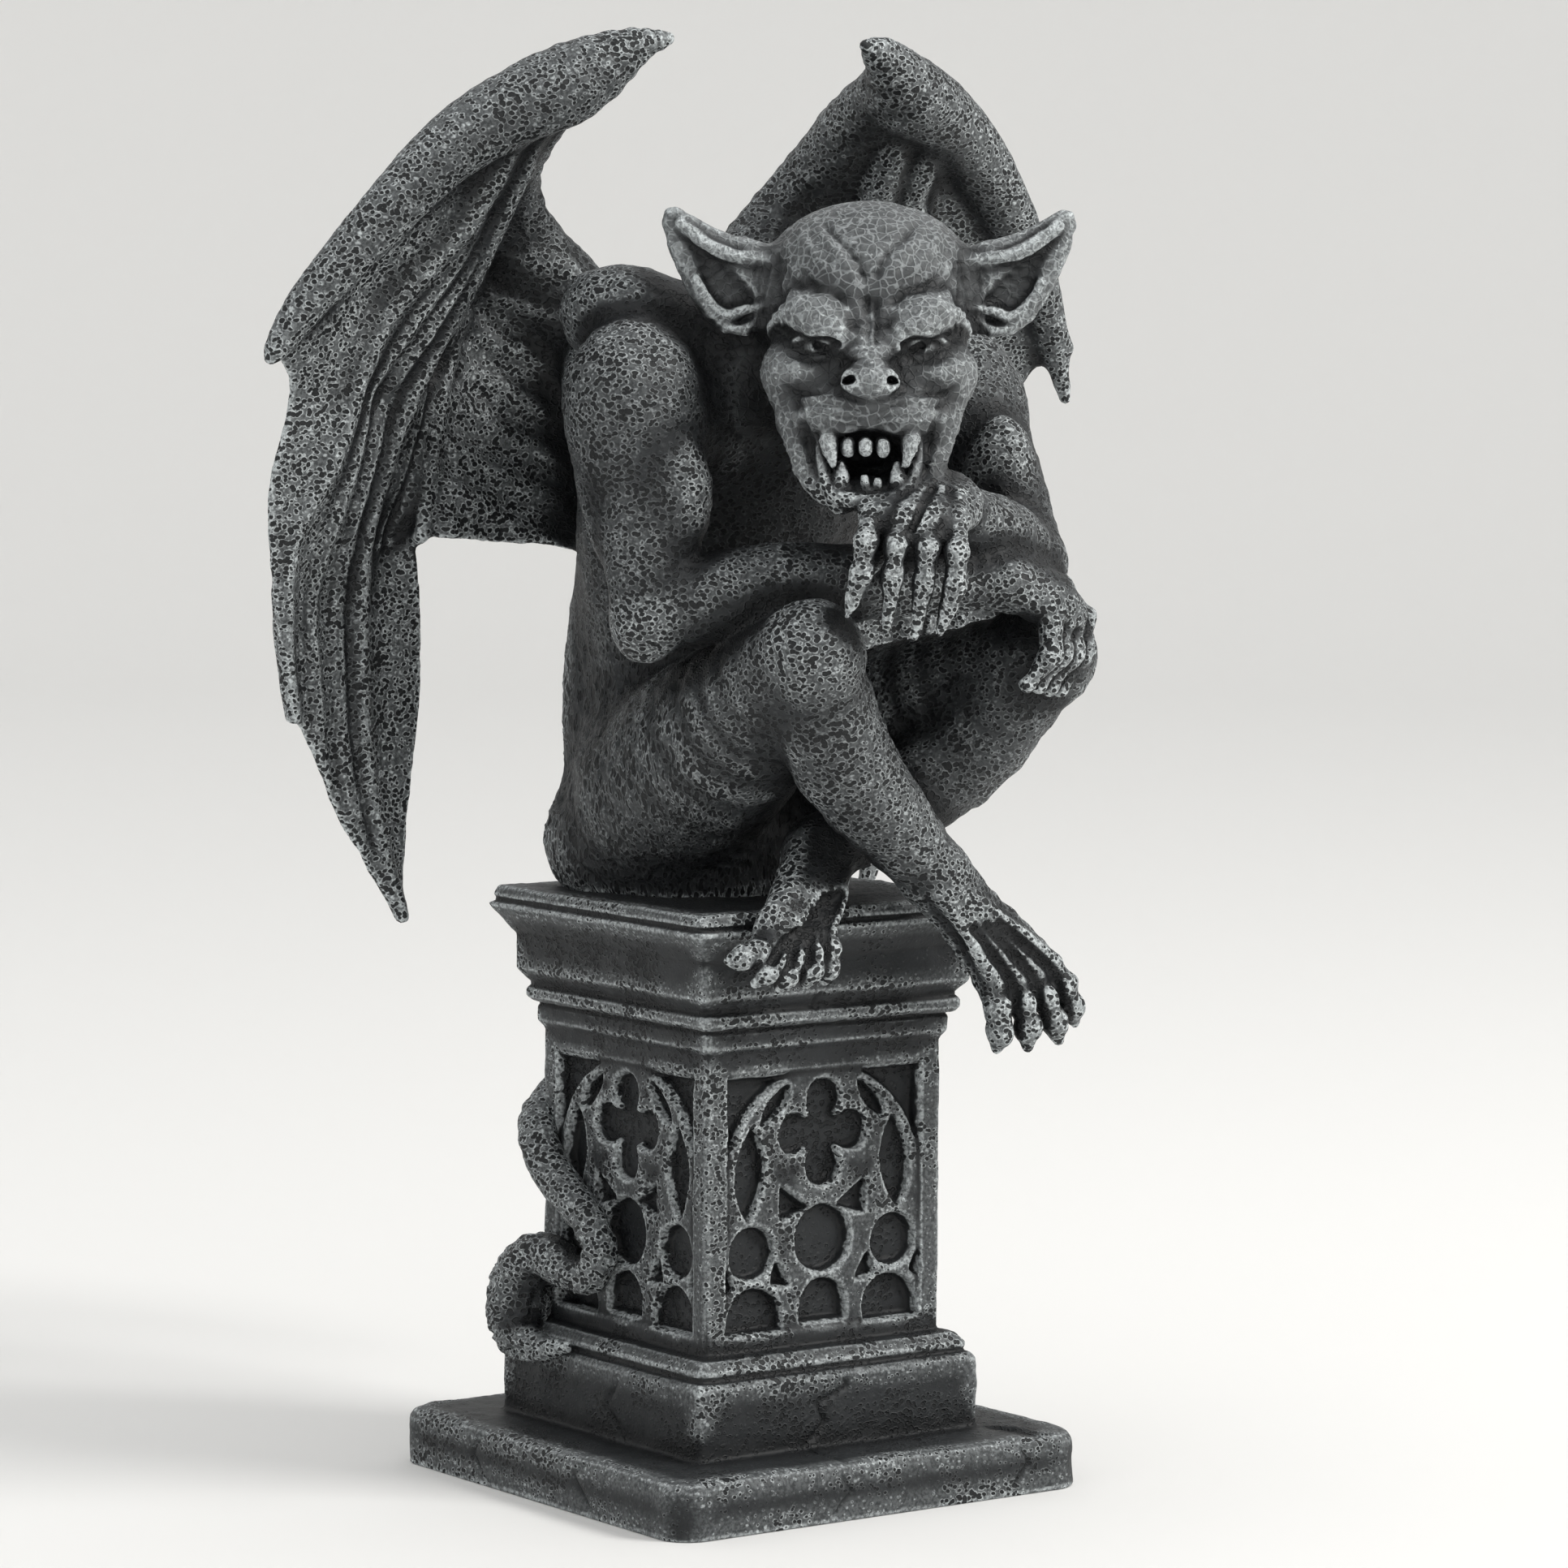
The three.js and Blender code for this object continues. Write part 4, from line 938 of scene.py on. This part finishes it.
def ear(field, side):
    outline = EAR if side > 0 else [(-x, u) for x, u in reversed(EAR)]
    field.join(head_plate(outline, 2.4, -0.1, 2.6, 2.2), 3)
    hollow = [(side * 36.4, 4.8, 21.4, 0.9, 1.1), (side * 32.4, 4.9, 15.8, 2.9, 2.6), (side * 28.6, 5.2, 10.2, 4.7, 3.6),
              (side * 26.2, 5, 7.6, 3.5, 3)]
    field.cut(head_limb(hollow, over=(0, 1, 0)), 0.9)
    rim = [(side * 16.5, 5, 16.6, 1.1), (side * 22.5, 4.8, 17.8, 1.2), (side * 27.5, 5, 18.4, 1.4),
           (side * 32.6, 4.8, 20.6, 1.4),
           (side * 37.6, 3.8, 24.4, 1.2)]
    field.join(head_limb(rim), 1.4)
    inner = [(side * 34.6, 3.2, 13.2, 0.9), (side * 32, 3.2, 8.8, 1.1), (side * 28.4, 3.2, 6.2, 1.2),
             (side * 24.8, 3.6, 7.4, 1.1), (side * 19, 4.4, 8.6, 1.4)]
    field.join(head_limb(inner), 0.9)


def eye(field, side):
    field.join(head_lump((side * 12.8, 16.2, -4.9), (6, 4.3, 2.6), (0, -side * 8, 0)), 2.2)
    field.cut(head_lump((side * 10.8, 23.4, 0.1), (5, 5.2, 2.3), (0, side * 10, 0)), 0.9)
    field.join(head_lump((side * 10.8, 16, 0.3), (3.4, 3.5, 3.2)), 0.3)
    field.cut(head_lump((side * 10.3, 19.9, 0.5), (1.1, 1.4, 1.1)), 0.25)
    lower_lid = [(side * 6.6, 18.4, -0.5, 0.6), (side * 9, 19, -1.9, 0.7), (side * 12.4, 18.2, -2, 0.7),
                 (side * 15.2, 15.6, -0.6, 0.6)]
    field.join(head_limb(lower_lid), 0.7)
    upper_lid = [(side * 6.8, 18.9, 0.4, 0.6), (side * 9.4, 19.8, 2, 0.8), (side * 13, 18.4, 2.2, 0.8),
                 (side * 15.4, 15.6, 0.6, 0.6)]
    field.join(head_limb(upper_lid), 0.7)


def mouth(field):
    field.cut(head_lump((0, 24, -22.6), (9.4, 12, 6.4)), 0.8)
    field.cut(head_lump((0, 18, -22), (7.6, 14, 5)), 0.8)
    field.join(head_lump((0, 16, -28.6), (8.2, 7.8, 3.2)), 1.0)
    lip = [(-9.6, 20.4, -17.6, 1.2), (-9.2, 21.6, -23, 1.3), (-7.8, 23, -28, 1.4), (-4.5, 24.8, -29.6, 1.5),
           (0, 25.6, -30, 1.5), (4.7, 24.8, -29.5, 1.5), (7.9, 23, -27.8, 1.4), (9.2, 21.6, -23, 1.3),
           (9.6, 20.4, -17.6, 1.2)]
    field.join(head_limb(lip), 1.0)
    for s, f in ((-4.2, 22.6), (-0.8, 23.6), (2.6, 22.8)):
        field.join(head_lump((s, f, -19.4), (1.5, 1.5, 2.1)), 0.2)
    for s, u in ((-0.9, -26.2), (1.7, -26.6)):
        field.join(head_lump((s, 23, u), (0.9, 0.9, 1.4)), 0.3)
    for side in (-1, 1):
        fang = [(side * 8.2, 22, -15.8, 1.9), (side * 8, 23.2, -19, 1.7), (side * 7.1, 23.8, -23.2, 0.6)]
        field.join(head_limb(fang), 0.5)
        low_fang = [(side * 5.7, 22.2, -28.6, 2), (side * 5.6, 22.6, -25.6, 1.7), (side * 5.6, 22.4, -22.8, 0.8)]
        field.join(head_limb(low_fang), 0.5)


# Folds and wrinkles of the face: height, width and a line of (right, up). A mirrored one is on both sides.
FACE_LINES = [
    (-1.1, 0.75, False, [(-0.5, 0), (-0.4, 5), (-0.7, 11)]),
    (-1.0, 0.7, False, [(1.3, 0), (1.2, 5), (0.9, 10)]),
    (0.8, 1.3, True, [(2.4, 6), (4.2, 11.6), (8.8, 15.8), (12.4, 20.4), (13.8, 24)]),
    (-0.8, 0.8, True, [(3, 6.5), (6.2, 10.4), (11.6, 13), (14.6, 17), (15.6, 21)]),
    (0.6, 0.9, True, [(5.4, 10), (11.8, 14.2), (15.4, 18.4), (16.6, 21)]),
    (-0.9, 0.9, True, [(0.6, 12.6), (3.6, 18.6), (7, 22), (9.6, 25)]),
    (0.6, 1.1, True, [(1.5, 11), (5, 16.6), (8.4, 20.6), (11, 24.4)]),
    (-0.6, 0.8, True, [(8, 11.2), (13.6, 11.8), (17, 14.6), (18.4, 18.6)]),
    (-0.9, 0.7, True, [(18.4, 15.8), (18.5, 12.4), (18.2, 9)]),
    (-0.7, 0.5, True, [(0.8, -12.8), (4.6, -11.4), (9.2, -11.2), (14, -11.4)]),
    (-0.7, 0.5, True, [(0.6, -14.6), (4, -13.6), (8.6, -13.4), (13.2, -12.6)]),
    (-0.6, 0.5, True, [(0.8, -16), (5, -15.2), (10.4, -14.9)]),
    (0.5, 0.6, True, [(0.2, -12), (5.9, -10.3), (10.4, -10), (14.6, -10.6)]),
    (-1.0, 0.9, True, [(14.6, -9.4), (13.4, -14), (12, -18), (11.6, -23), (10.4, -27)]),
    (-0.7, 0.55, True, [(4.6, -2.2), (8, -7.9), (13, -9), (18.6, -6.8)]),
    (-0.5, 0.5, True, [(6, -0.6), (9, -2.4), (13, -2.6), (17, -0.8)]),
    (-0.5, 0.45, False, [(-4, -2.4), (0, -1.6), (4, -2.4)]),
    (-0.5, 0.45, False, [(-3.6, -4), (0, -3.2), (3.8, -4)]),
]
CHEEK_FOLDS = 7
TEMPLE_FOLDS = 6
CROWN_FOLDS = 9


def face_lines():
    lines = []
    for height, width, both, points in FACE_LINES:
        lines.append((height, width, points))
        if both:
            lines.append((height, width, [(-x, u) for x, u in points]))
    for k in range(CHEEK_FOLDS):
        for side in (-1, 1):
            x = 12.6 + 1.5 * k
            lines.append((-0.45, 0.5, [(side * (x + 3.4), -8.5 + 0.4 * k), (side * (x + 1.6), -15),
                                       (side * x, -21 + 0.6 * k),
                                       (side * (x - 1.4), -26 + 0.9 * k)]))
    for k in range(TEMPLE_FOLDS):
        for side in (-1, 1):
            x = 16.6 + 1.3 * k
            lines.append((-0.4, 0.45, [(side * (x - 1.4), 20 - 0.6 * k), (side * x, 14), (side * (x + 0.6), 8),
                                       (side * x, 1)]))
    for k in range(CROWN_FOLDS):
        u = 14.5 + 1.6 * k
        reach = 2 + 0.9 * k
        lines.append((-0.3, 0.4, [(-reach, u + 0.8), (-reach / 3, u), (reach / 3, u + 0.5), (reach, u + 1)]))
    return lines


def face_relief(p):
    """Heights of the wrinkles on the front of the head."""
    q = head_local(p)
    height = np.zeros(p.shape[1])
    near = np.nonzero((np.abs(q[0]) < 26) & (q[1] > -6) & (q[2] > -34) & (q[2] < 30))[0]
    q = q[:, near]
    wander = 0.35 * noise(q, 2.4, 31), 0.35 * noise(q, 2.4, 32)
    total = np.zeros(len(near))
    for tall, width, points in face_lines():
        path = [tuple(row) for row in smooth_path(points, 3)]
        d, along = line_distance(path, q[0] + wander[0], q[2] + wander[1])
        total += tall * np.exp(-(d / width) ** 2) * np.clip(np.minimum(along, 1 - along) * 6 + 0.25, 0, 1)
    height[near] = total * np.clip((q[1] + 4) / 5, 0, 1)
    return height


def ramp(x, start, end):
    return np.clip((x - start) / (end - start), 0, 1)


def head_near(p):
    """1 on the head and its ears, 0 on the rest of the figure."""
    q = head_local(p)
    far = np.sqrt((q[0] / 1.05) ** 2 + (q[1] - 4) ** 2 + ((q[2] + 3) / 1.3) ** 2)
    skull = (1 - ramp(far, 26, 29)) * ramp(q[2], -35, -33) * np.maximum(ramp(q[1], -12, -6), ramp(q[2], 8, 14))
    low_edge = 0.55 * (np.abs(q[0]) - 22) - 2
    flap = (np.abs(q[0]) < 44) & (np.abs(q[0]) > 18) & (q[2] > low_edge) & (q[2] < 31) & (np.abs(q[1] - 2) < 7)
    return np.maximum(skull, flap.astype(float))


def haunch_near(p):
    """1 on the haunches, the seat and the small of the back, where the coat is long."""
    low = 1 - ramp(p[2], 165, 185)
    behind = ramp(p[1], -38, -24)
    body = 1 - ramp(np.abs(p[0]), 40, 44)
    return low * behind * body * ramp(p[2], 118, 124)


def figure_relief(p, slope):
    face = head_near(p)
    coat = haunch_near(p)
    wing_part = ramp(np.abs(p[0]), 44, 50) * ramp(p[1], -12, -4)
    rough = 0.28 * noise(p, 3.2, 4) + 0.22 * noise(p, 1.7, 5)
    fur = strokes(p, (0.25, -0.35, -0.9), 4.6, 1.5, 6) - 0.6
    height = rough * (1 - face * 0.8) * (1 - 0.4 * wing_part) * (1 - coat * 0.6)
    height += coat * fur * 0.9
    tail = (p[2] < 118) & (p[0] < -20) & (p[1] > -5)
    if tail.any():
        tuft = strokes(p[:, tail], (0, 1, -0.35), 9, 1.5, 8) - 0.6
        height[tail] += tuft * 1.1 * (p[2, tail] < 53)
    height += face_relief(p) * face
    across = HEAD_AXES[:, 0]
    height += face * 0.5 * (strokes(p, across, 5, 1.5, 14) - 0.62)
    return height


def figure_field():
    view, maps = wing_maps()
    field = Field()
    torso(field)
    leg(field, (-HIP[0], HIP[1], HIP[2]), KNEE_R, ANKLE_R, (-2, 3, -3))
    leg(field, HIP, KNEE_L, ANKLE_L, (4, 5, -6))
    arm(field, SHOULDER_R, ELBOW_R, WRIST_R, -1, 3)
    arm(field, SHOULDER_L, ELBOW_L, WRIST_L, 1, 0)
    right_hand(field)
    left_hand(field)
    foot(field, ANKLE_R, BALL_R, TOE_TIPS_R, 2.9, 15)
    foot(field, ANKLE_L, BALL_L, TOE_TIPS_L, 2.6, 14)
    field.join(limb(TAIL), 4)
    field.join(limb(TUFT), 2)
    for side in (-1, 1):
        wing(field, side, view, maps)
    head(field)
    keep = [(half - 0.5, z) for half, z in COLUMN_LEVELS]
    keep[0] = (keep[0][0], 0)
    keep[-1] = (keep[-1][0], CAP_TOP - 0.5)
    field.cut(square_turned(keep, EDGE_CORNER), 0.2)
    return field


# Finishes

class Nodes:
    """A short way to write a material's node graph."""

    def __init__(self, name):
        self.material = bpy.data.materials.new(name)
        self.material.use_nodes = True
        self.tree = self.material.node_tree
        self.shader = self.tree.nodes["Principled BSDF"]

    def add(self, kind, inputs=(), **settings):
        node = self.tree.nodes.new(kind)
        for key, value in settings.items():
            setattr(node, key, value)
        for key, value in dict(inputs).items():
            self.feed(node.inputs[key], value)
        return node

    def feed(self, socket, value):
        if isinstance(value, bpy.types.NodeSocket):
            self.tree.links.new(value, socket)
        else:
            socket.default_value = value

    def math(self, operation, a, b=0.0, c=0.0, clamp=False):
        node = self.add("ShaderNodeMath", operation=operation, use_clamp=clamp)
        for socket, value in zip(node.inputs, (a, b, c)):
            self.feed(socket, value)
        return node.outputs[0]

    def ramp(self, value, start, end, low=0.0, high=1.0):
        numbers = {0: value, 1: start, 2: end, 3: low, 4: high}
        node = self.add("ShaderNodeMapRange", numbers, interpolation_type="SMOOTHSTEP")
        return node.outputs[0]

    def mix(self, factor, a, b):
        node = self.add("ShaderNodeMix", data_type="RGBA")
        self.feed(node.inputs[0], factor)
        self.feed(node.inputs[6], a)
        self.feed(node.inputs[7], b)
        return node.outputs[2]

    def attribute(self, name):
        return self.add("ShaderNodeAttribute", attribute_name=name).outputs["Fac"]


# Near black: the wash in pits and blotches, also used as painted shade in hollows and shut-in places.
INK_AND_SHADE = (0.008, 0.009, 0.010, 1)
BASE = (0.017, 0.019, 0.021, 1)
SKIN = (0.070, 0.074, 0.077, 1)
DUST = (0.56, 0.60, 0.61, 1)
PORE_SIZE = 1.25
SKIN_CELL = 1.9


def cells_at(n, place, scale, stretch=(1, 1, 1)):
    spread = n.add("ShaderNodeVectorMath", {0: place, 1: stretch}, operation="MULTIPLY").outputs[0]
    return n.add("ShaderNodeTexVoronoi", {"Vector": spread, "Scale": scale, "Randomness": 1.0}).outputs["Distance"]


def resin(name, dust_share, base):
    """Black wash in pits, black wash and painted shade in hollows, dark resin between, and pale dry-brushed crests,
    rims and edges.
    """
    n = Nodes(name)
    where = n.add("ShaderNodeTexCoord").outputs["Object"]
    drift = n.add("ShaderNodeTexNoise", {"Vector": where, "Scale": 420.0, "Detail": 2.0})
    centred = n.add("ShaderNodeVectorMath", {0: drift.outputs["Color"], 1: (0.5, 0.5, 0.5)}, operation="SUBTRACT")
    bent = n.add("ShaderNodeVectorMath", {0: centred.outputs[0], "Scale": 0.0012}, operation="SCALE")
    place = n.add("ShaderNodeVectorMath", {0: where, 1: bent.outputs[0]}, operation="ADD").outputs[0]
    grain = {"Vector": where, "Scale": 1400.0, "Detail": 3.0, "Roughness": 0.6}
    fine = n.add("ShaderNodeTexNoise", grain).outputs["Fac"]
    patch = n.add("ShaderNodeTexNoise", {"Vector": where, "Scale": 110.0, "Detail": 3.0}).outputs["Fac"]
    pores, coat, smooth = n.attribute("pores"), n.attribute("coat"), n.attribute("smooth")
    crest, worn, wash_and_shade = n.attribute("crest"), n.attribute("worn"), n.attribute("wash_and_shade")

    round_pits = cells_at(n, place, 1000 / PORE_SIZE, (0.92, 0.92, 1.15))
    long_pits = cells_at(n, place, 1000 / PORE_SIZE, (1.35, 1.35, 0.42))
    distance = n.math("ADD", n.math("MULTIPLY", round_pits, n.math("SUBTRACT", 1.0, coat)),
                      n.math("MULTIPLY", long_pits, coat))
    reach = n.math("MULTIPLY", n.ramp(patch, 0.3, 0.7, 0.34, 0.5), n.ramp(pores, 0.0, 0.6))
    gap = n.math("SUBTRACT", distance, reach)
    pit = n.ramp(gap, -0.07, 0.03, 1.0, 0.0)
    rim = n.math("MULTIPLY", n.ramp(gap, 0.0, 0.06), n.ramp(gap, 0.08, 0.26, 1.0, 0.0))

    streak = n.ramp(fine, 0.36, 0.62, 0.25, 1.0)
    lace = n.math("ADD", n.math("MULTIPLY", rim, 0.7), 0.2)
    brushed = n.math("MULTIPLY", n.ramp(crest, 0.2, 0.9, 0.06, 1.0), lace)
    brushed = n.math("MULTIPLY", brushed, streak)
    edge = n.math("MULTIPLY", n.ramp(worn, 0.15, 0.9), streak)
    light = n.math("ADD", brushed, n.math("MULTIPLY", edge, 0.7))
    light = n.math("MULTIPLY", light, n.ramp(wash_and_shade, 0.1, 0.7, 1.0, 0.06))
    light = n.math("MULTIPLY", light, dust_share, clamp=True)

    folded = n.add("ShaderNodeTexVoronoi", {"Vector": place, "Scale": 1000 / SKIN_CELL}, feature="DISTANCE_TO_EDGE")
    line = n.math("MULTIPLY", n.ramp(folded.outputs["Distance"], 0.02, 0.13, 1.0, 0.0), smooth)
    light = n.math("ADD", light, n.math("MULTIPLY", line, n.ramp(wash_and_shade, 0.1, 0.6, 0.3, 0.0)), clamp=True)

    ground = n.mix(smooth, base, SKIN)
    ground = n.mix(n.ramp(patch, 0.35, 0.7, 0.0, 0.35), ground, INK_AND_SHADE)
    tone = n.mix(light, ground, DUST)
    # Painted shade with black wash: hollows and shut-in places are darkened towards near black.
    tone = n.mix(n.ramp(wash_and_shade, 0.2, 0.9, 0.0, 0.9), tone, INK_AND_SHADE)
    tone = n.mix(n.math("MULTIPLY", pit, 0.95), tone, INK_AND_SHADE)
    n.feed(n.shader.inputs["Base Color"], tone)
    n.feed(n.shader.inputs["Roughness"], n.ramp(light, 0.0, 1.0, 0.55, 0.8))
    n.shader.inputs["Specular IOR Level"].default_value = 0.3
    raised = n.math("ADD", n.math("MULTIPLY", fine, 0.25), n.math("MULTIPLY", rim, 0.2))
    raised = n.math("ADD", raised, n.math("MULTIPLY", line, 0.35))
    bump = n.add("ShaderNodeBump", {"Strength": 1.0, "Distance": 0.00045, "Height": n.math("SUBTRACT", raised, pit)})
    n.feed(n.shader.inputs["Normal"], bump.outputs[0])
    return n.material


# Camera, light and floor

CAMERA = {"azimuth": -36.22, "elevation": 4.85, "distance": 1.2179, "target": (0.0106, 0, 0.14515), "roll": 0.42,
          "lens": 133.35}


def make_camera():
    a, e = math.radians(CAMERA["azimuth"]), math.radians(CAMERA["elevation"])
    back = Vector((math.sin(a) * math.cos(e), -math.cos(a) * math.cos(e), math.sin(e)))
    right = Vector((math.cos(a), math.sin(a), 0))
    up = back.cross(right)
    r = math.radians(CAMERA["roll"])
    right, up = right * math.cos(r) + up * math.sin(r), up * math.cos(r) - right * math.sin(r)
    data = bpy.data.cameras.new("camera")
    data.lens = CAMERA["lens"]
    data.sensor_width = 36
    data.clip_start = 0.05
    camera = bpy.data.objects.new("camera", data)
    turn = Matrix((right, up, back)).transposed().to_4x4()
    camera.matrix_world = Matrix.Translation(Vector(CAMERA["target"]) + back * CAMERA["distance"]) @ turn
    bpy.context.scene.collection.objects.link(camera)
    bpy.context.scene.camera = camera


def make_light(name, place, size, energy, colour=(1, 1, 1)):
    data = bpy.data.lights.new(name, "AREA")
    data.size = size
    data.energy = energy
    data.color = colour
    lamp = bpy.data.objects.new(name, data)
    lamp.location = place
    lamp.rotation_euler = (Vector((0, 0, 0.15)) - Vector(place)).to_track_quat("-Z", "Y").to_euler()
    bpy.context.scene.collection.objects.link(lamp)


WORLD_STRENGTH, KEY_POWER, FILL_POWER = 1.04, 20, 1.2
FLOOR_RADIUS, COVE_RADIUS, WALL_HEIGHT = 2.4, 1.2, 3.2
ROUND = 96


def make_studio():
    """A round pale floor that curves up into a wall on every side, so that no edge shows from any angle."""
    profile = [(0.02, 0), (FLOOR_RADIUS / 2, 0), (FLOOR_RADIUS, 0)]
    for k in range(1, 13):
        angle = math.radians(90 * k / 12)
        profile.append((FLOOR_RADIUS + COVE_RADIUS * math.sin(angle), COVE_RADIUS * (1 - math.cos(angle))))
    profile.append((FLOOR_RADIUS + COVE_RADIUS, WALL_HEIGHT))
    turns = [2 * math.pi * k / ROUND for k in range(ROUND)]
    points = [(r * math.cos(a), r * math.sin(a), z) for r, z in profile for a in turns]
    faces = [[i * ROUND + j, i * ROUND + (j + 1) % ROUND, (i + 1) * ROUND + (j + 1) % ROUND, (i + 1) * ROUND + j]
             for i in range(len(profile) - 1) for j in range(ROUND)]
    faces.append(list(range(ROUND)))
    mesh = bpy.data.meshes.new("studio_floor")
    mesh.from_pydata(points, [], faces)
    mesh.polygons.foreach_set("use_smooth", np.ones(len(faces), dtype=bool))
    floor = bpy.data.objects.new("studio_floor", mesh)
    bpy.context.scene.collection.objects.link(floor)
    n = Nodes("studio_paper")
    n.shader.inputs["Base Color"].default_value = (0.80, 0.797, 0.785, 1)
    n.shader.inputs["Roughness"].default_value = 0.95
    n.shader.inputs["Specular IOR Level"].default_value = 0.0
    mesh.materials.append(n.material)
    world = bpy.data.worlds.new("studio")
    world.use_nodes = True
    world.node_tree.nodes["Background"].inputs["Color"].default_value = (1.0, 1.0, 1.0, 1)
    world.node_tree.nodes["Background"].inputs["Strength"].default_value = WORLD_STRENGTH
    bpy.context.scene.world = world
    make_light("key", (0.75, -1.15, 1.25), 0.55, KEY_POWER, (1, 0.985, 0.96))
    make_light("fill", (-1.3, -0.4, 0.7), 1.0, FILL_POWER, (0.86, 0.92, 1))
    bpy.context.scene.view_settings.view_transform = "Standard"


def nowhere(p):
    return np.zeros(p.shape[1])


def build_plinth():
    field = plinth_field()
    box = ((-SLAB_HALF, -SLAB_HALF, 0), (SLAB_HALF, SLAB_HALF, CAP_TOP))
    piece = mesh_piece("plinth_cast", field, plinth_relief, box, PLINTH_PITCH)
    store_looks(piece, field, lambda p: 0.4 + 0.6 * noise(p, 8, 21), nowhere, nowhere)
    piece.data.materials.append(resin("plinth_finish", 0.75, BASE))
    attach(piece, "root")
    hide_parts("plinth")


def head_part(p):
    """Below zero on the head and its ears: where the finest piece shows."""
    q = head_local(p)
    skull = np.sqrt((q[0] / 34) ** 2 + (q[1] / 33) ** 2 + (q[2] / 35) ** 2) * 33 - 33
    low_edge = (0.55 * (np.abs(q[0]) - 22) - 3 - q[2]) * 0.88
    flaps = np.maximum.reduce([np.abs(q[0]) - 44.5, np.abs(q[1] - 2) - 8, q[2] - 32, low_edge])
    return np.minimum(skull, flaps)


def wing_part(p):
    """Below zero on the wings: beside the back, and above the shoulders."""
    out = np.abs(p[0])
    beside = np.maximum(28 - out, (49 - out - p[1]) * 0.7)
    return np.maximum(np.minimum(beside, 253 - p[2]), 113 - p[2])


def figure_pores(p):
    return 1 - 0.9 * head_near(p) - 0.45 * ramp(np.abs(p[0]), 44, 50) * ramp(p[1], -12, -4)


def build_figure():
    field = figure_field()
    finish = resin("figure_finish", 1.0, BASE)
    head_window = windows(head_part)
    wings = windows(wing_part, lambda p: -head_part(p) - OVERLAP)
    body = windows(lambda p: -wing_part(p) - OVERLAP, lambda p: -head_part(p) - OVERLAP)
    centre = np.array(HEAD)
    jobs = [
        ("gargoyle_head", (centre - 45, centre + 45), HEAD_PITCH, head_window),
        ("gargoyle_wings", ((-104, -12, 112), (104, 46, 302)), WING_PITCH, wings),
        ("gargoyle_body", ((-60, -86, 15), (62, 50, 262)), BODY_PITCH, body),
    ]
    for name, box, pitch, window in jobs:
        piece = mesh_piece(name, field, figure_relief, box, pitch, window)
        store_looks(piece, field, figure_pores, head_near, haunch_near)
        piece.data.materials.append(finish)
        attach(piece, "root")
        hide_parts("gargoyle")


make_camera()
make_studio()
build_plinth()
build_figure()
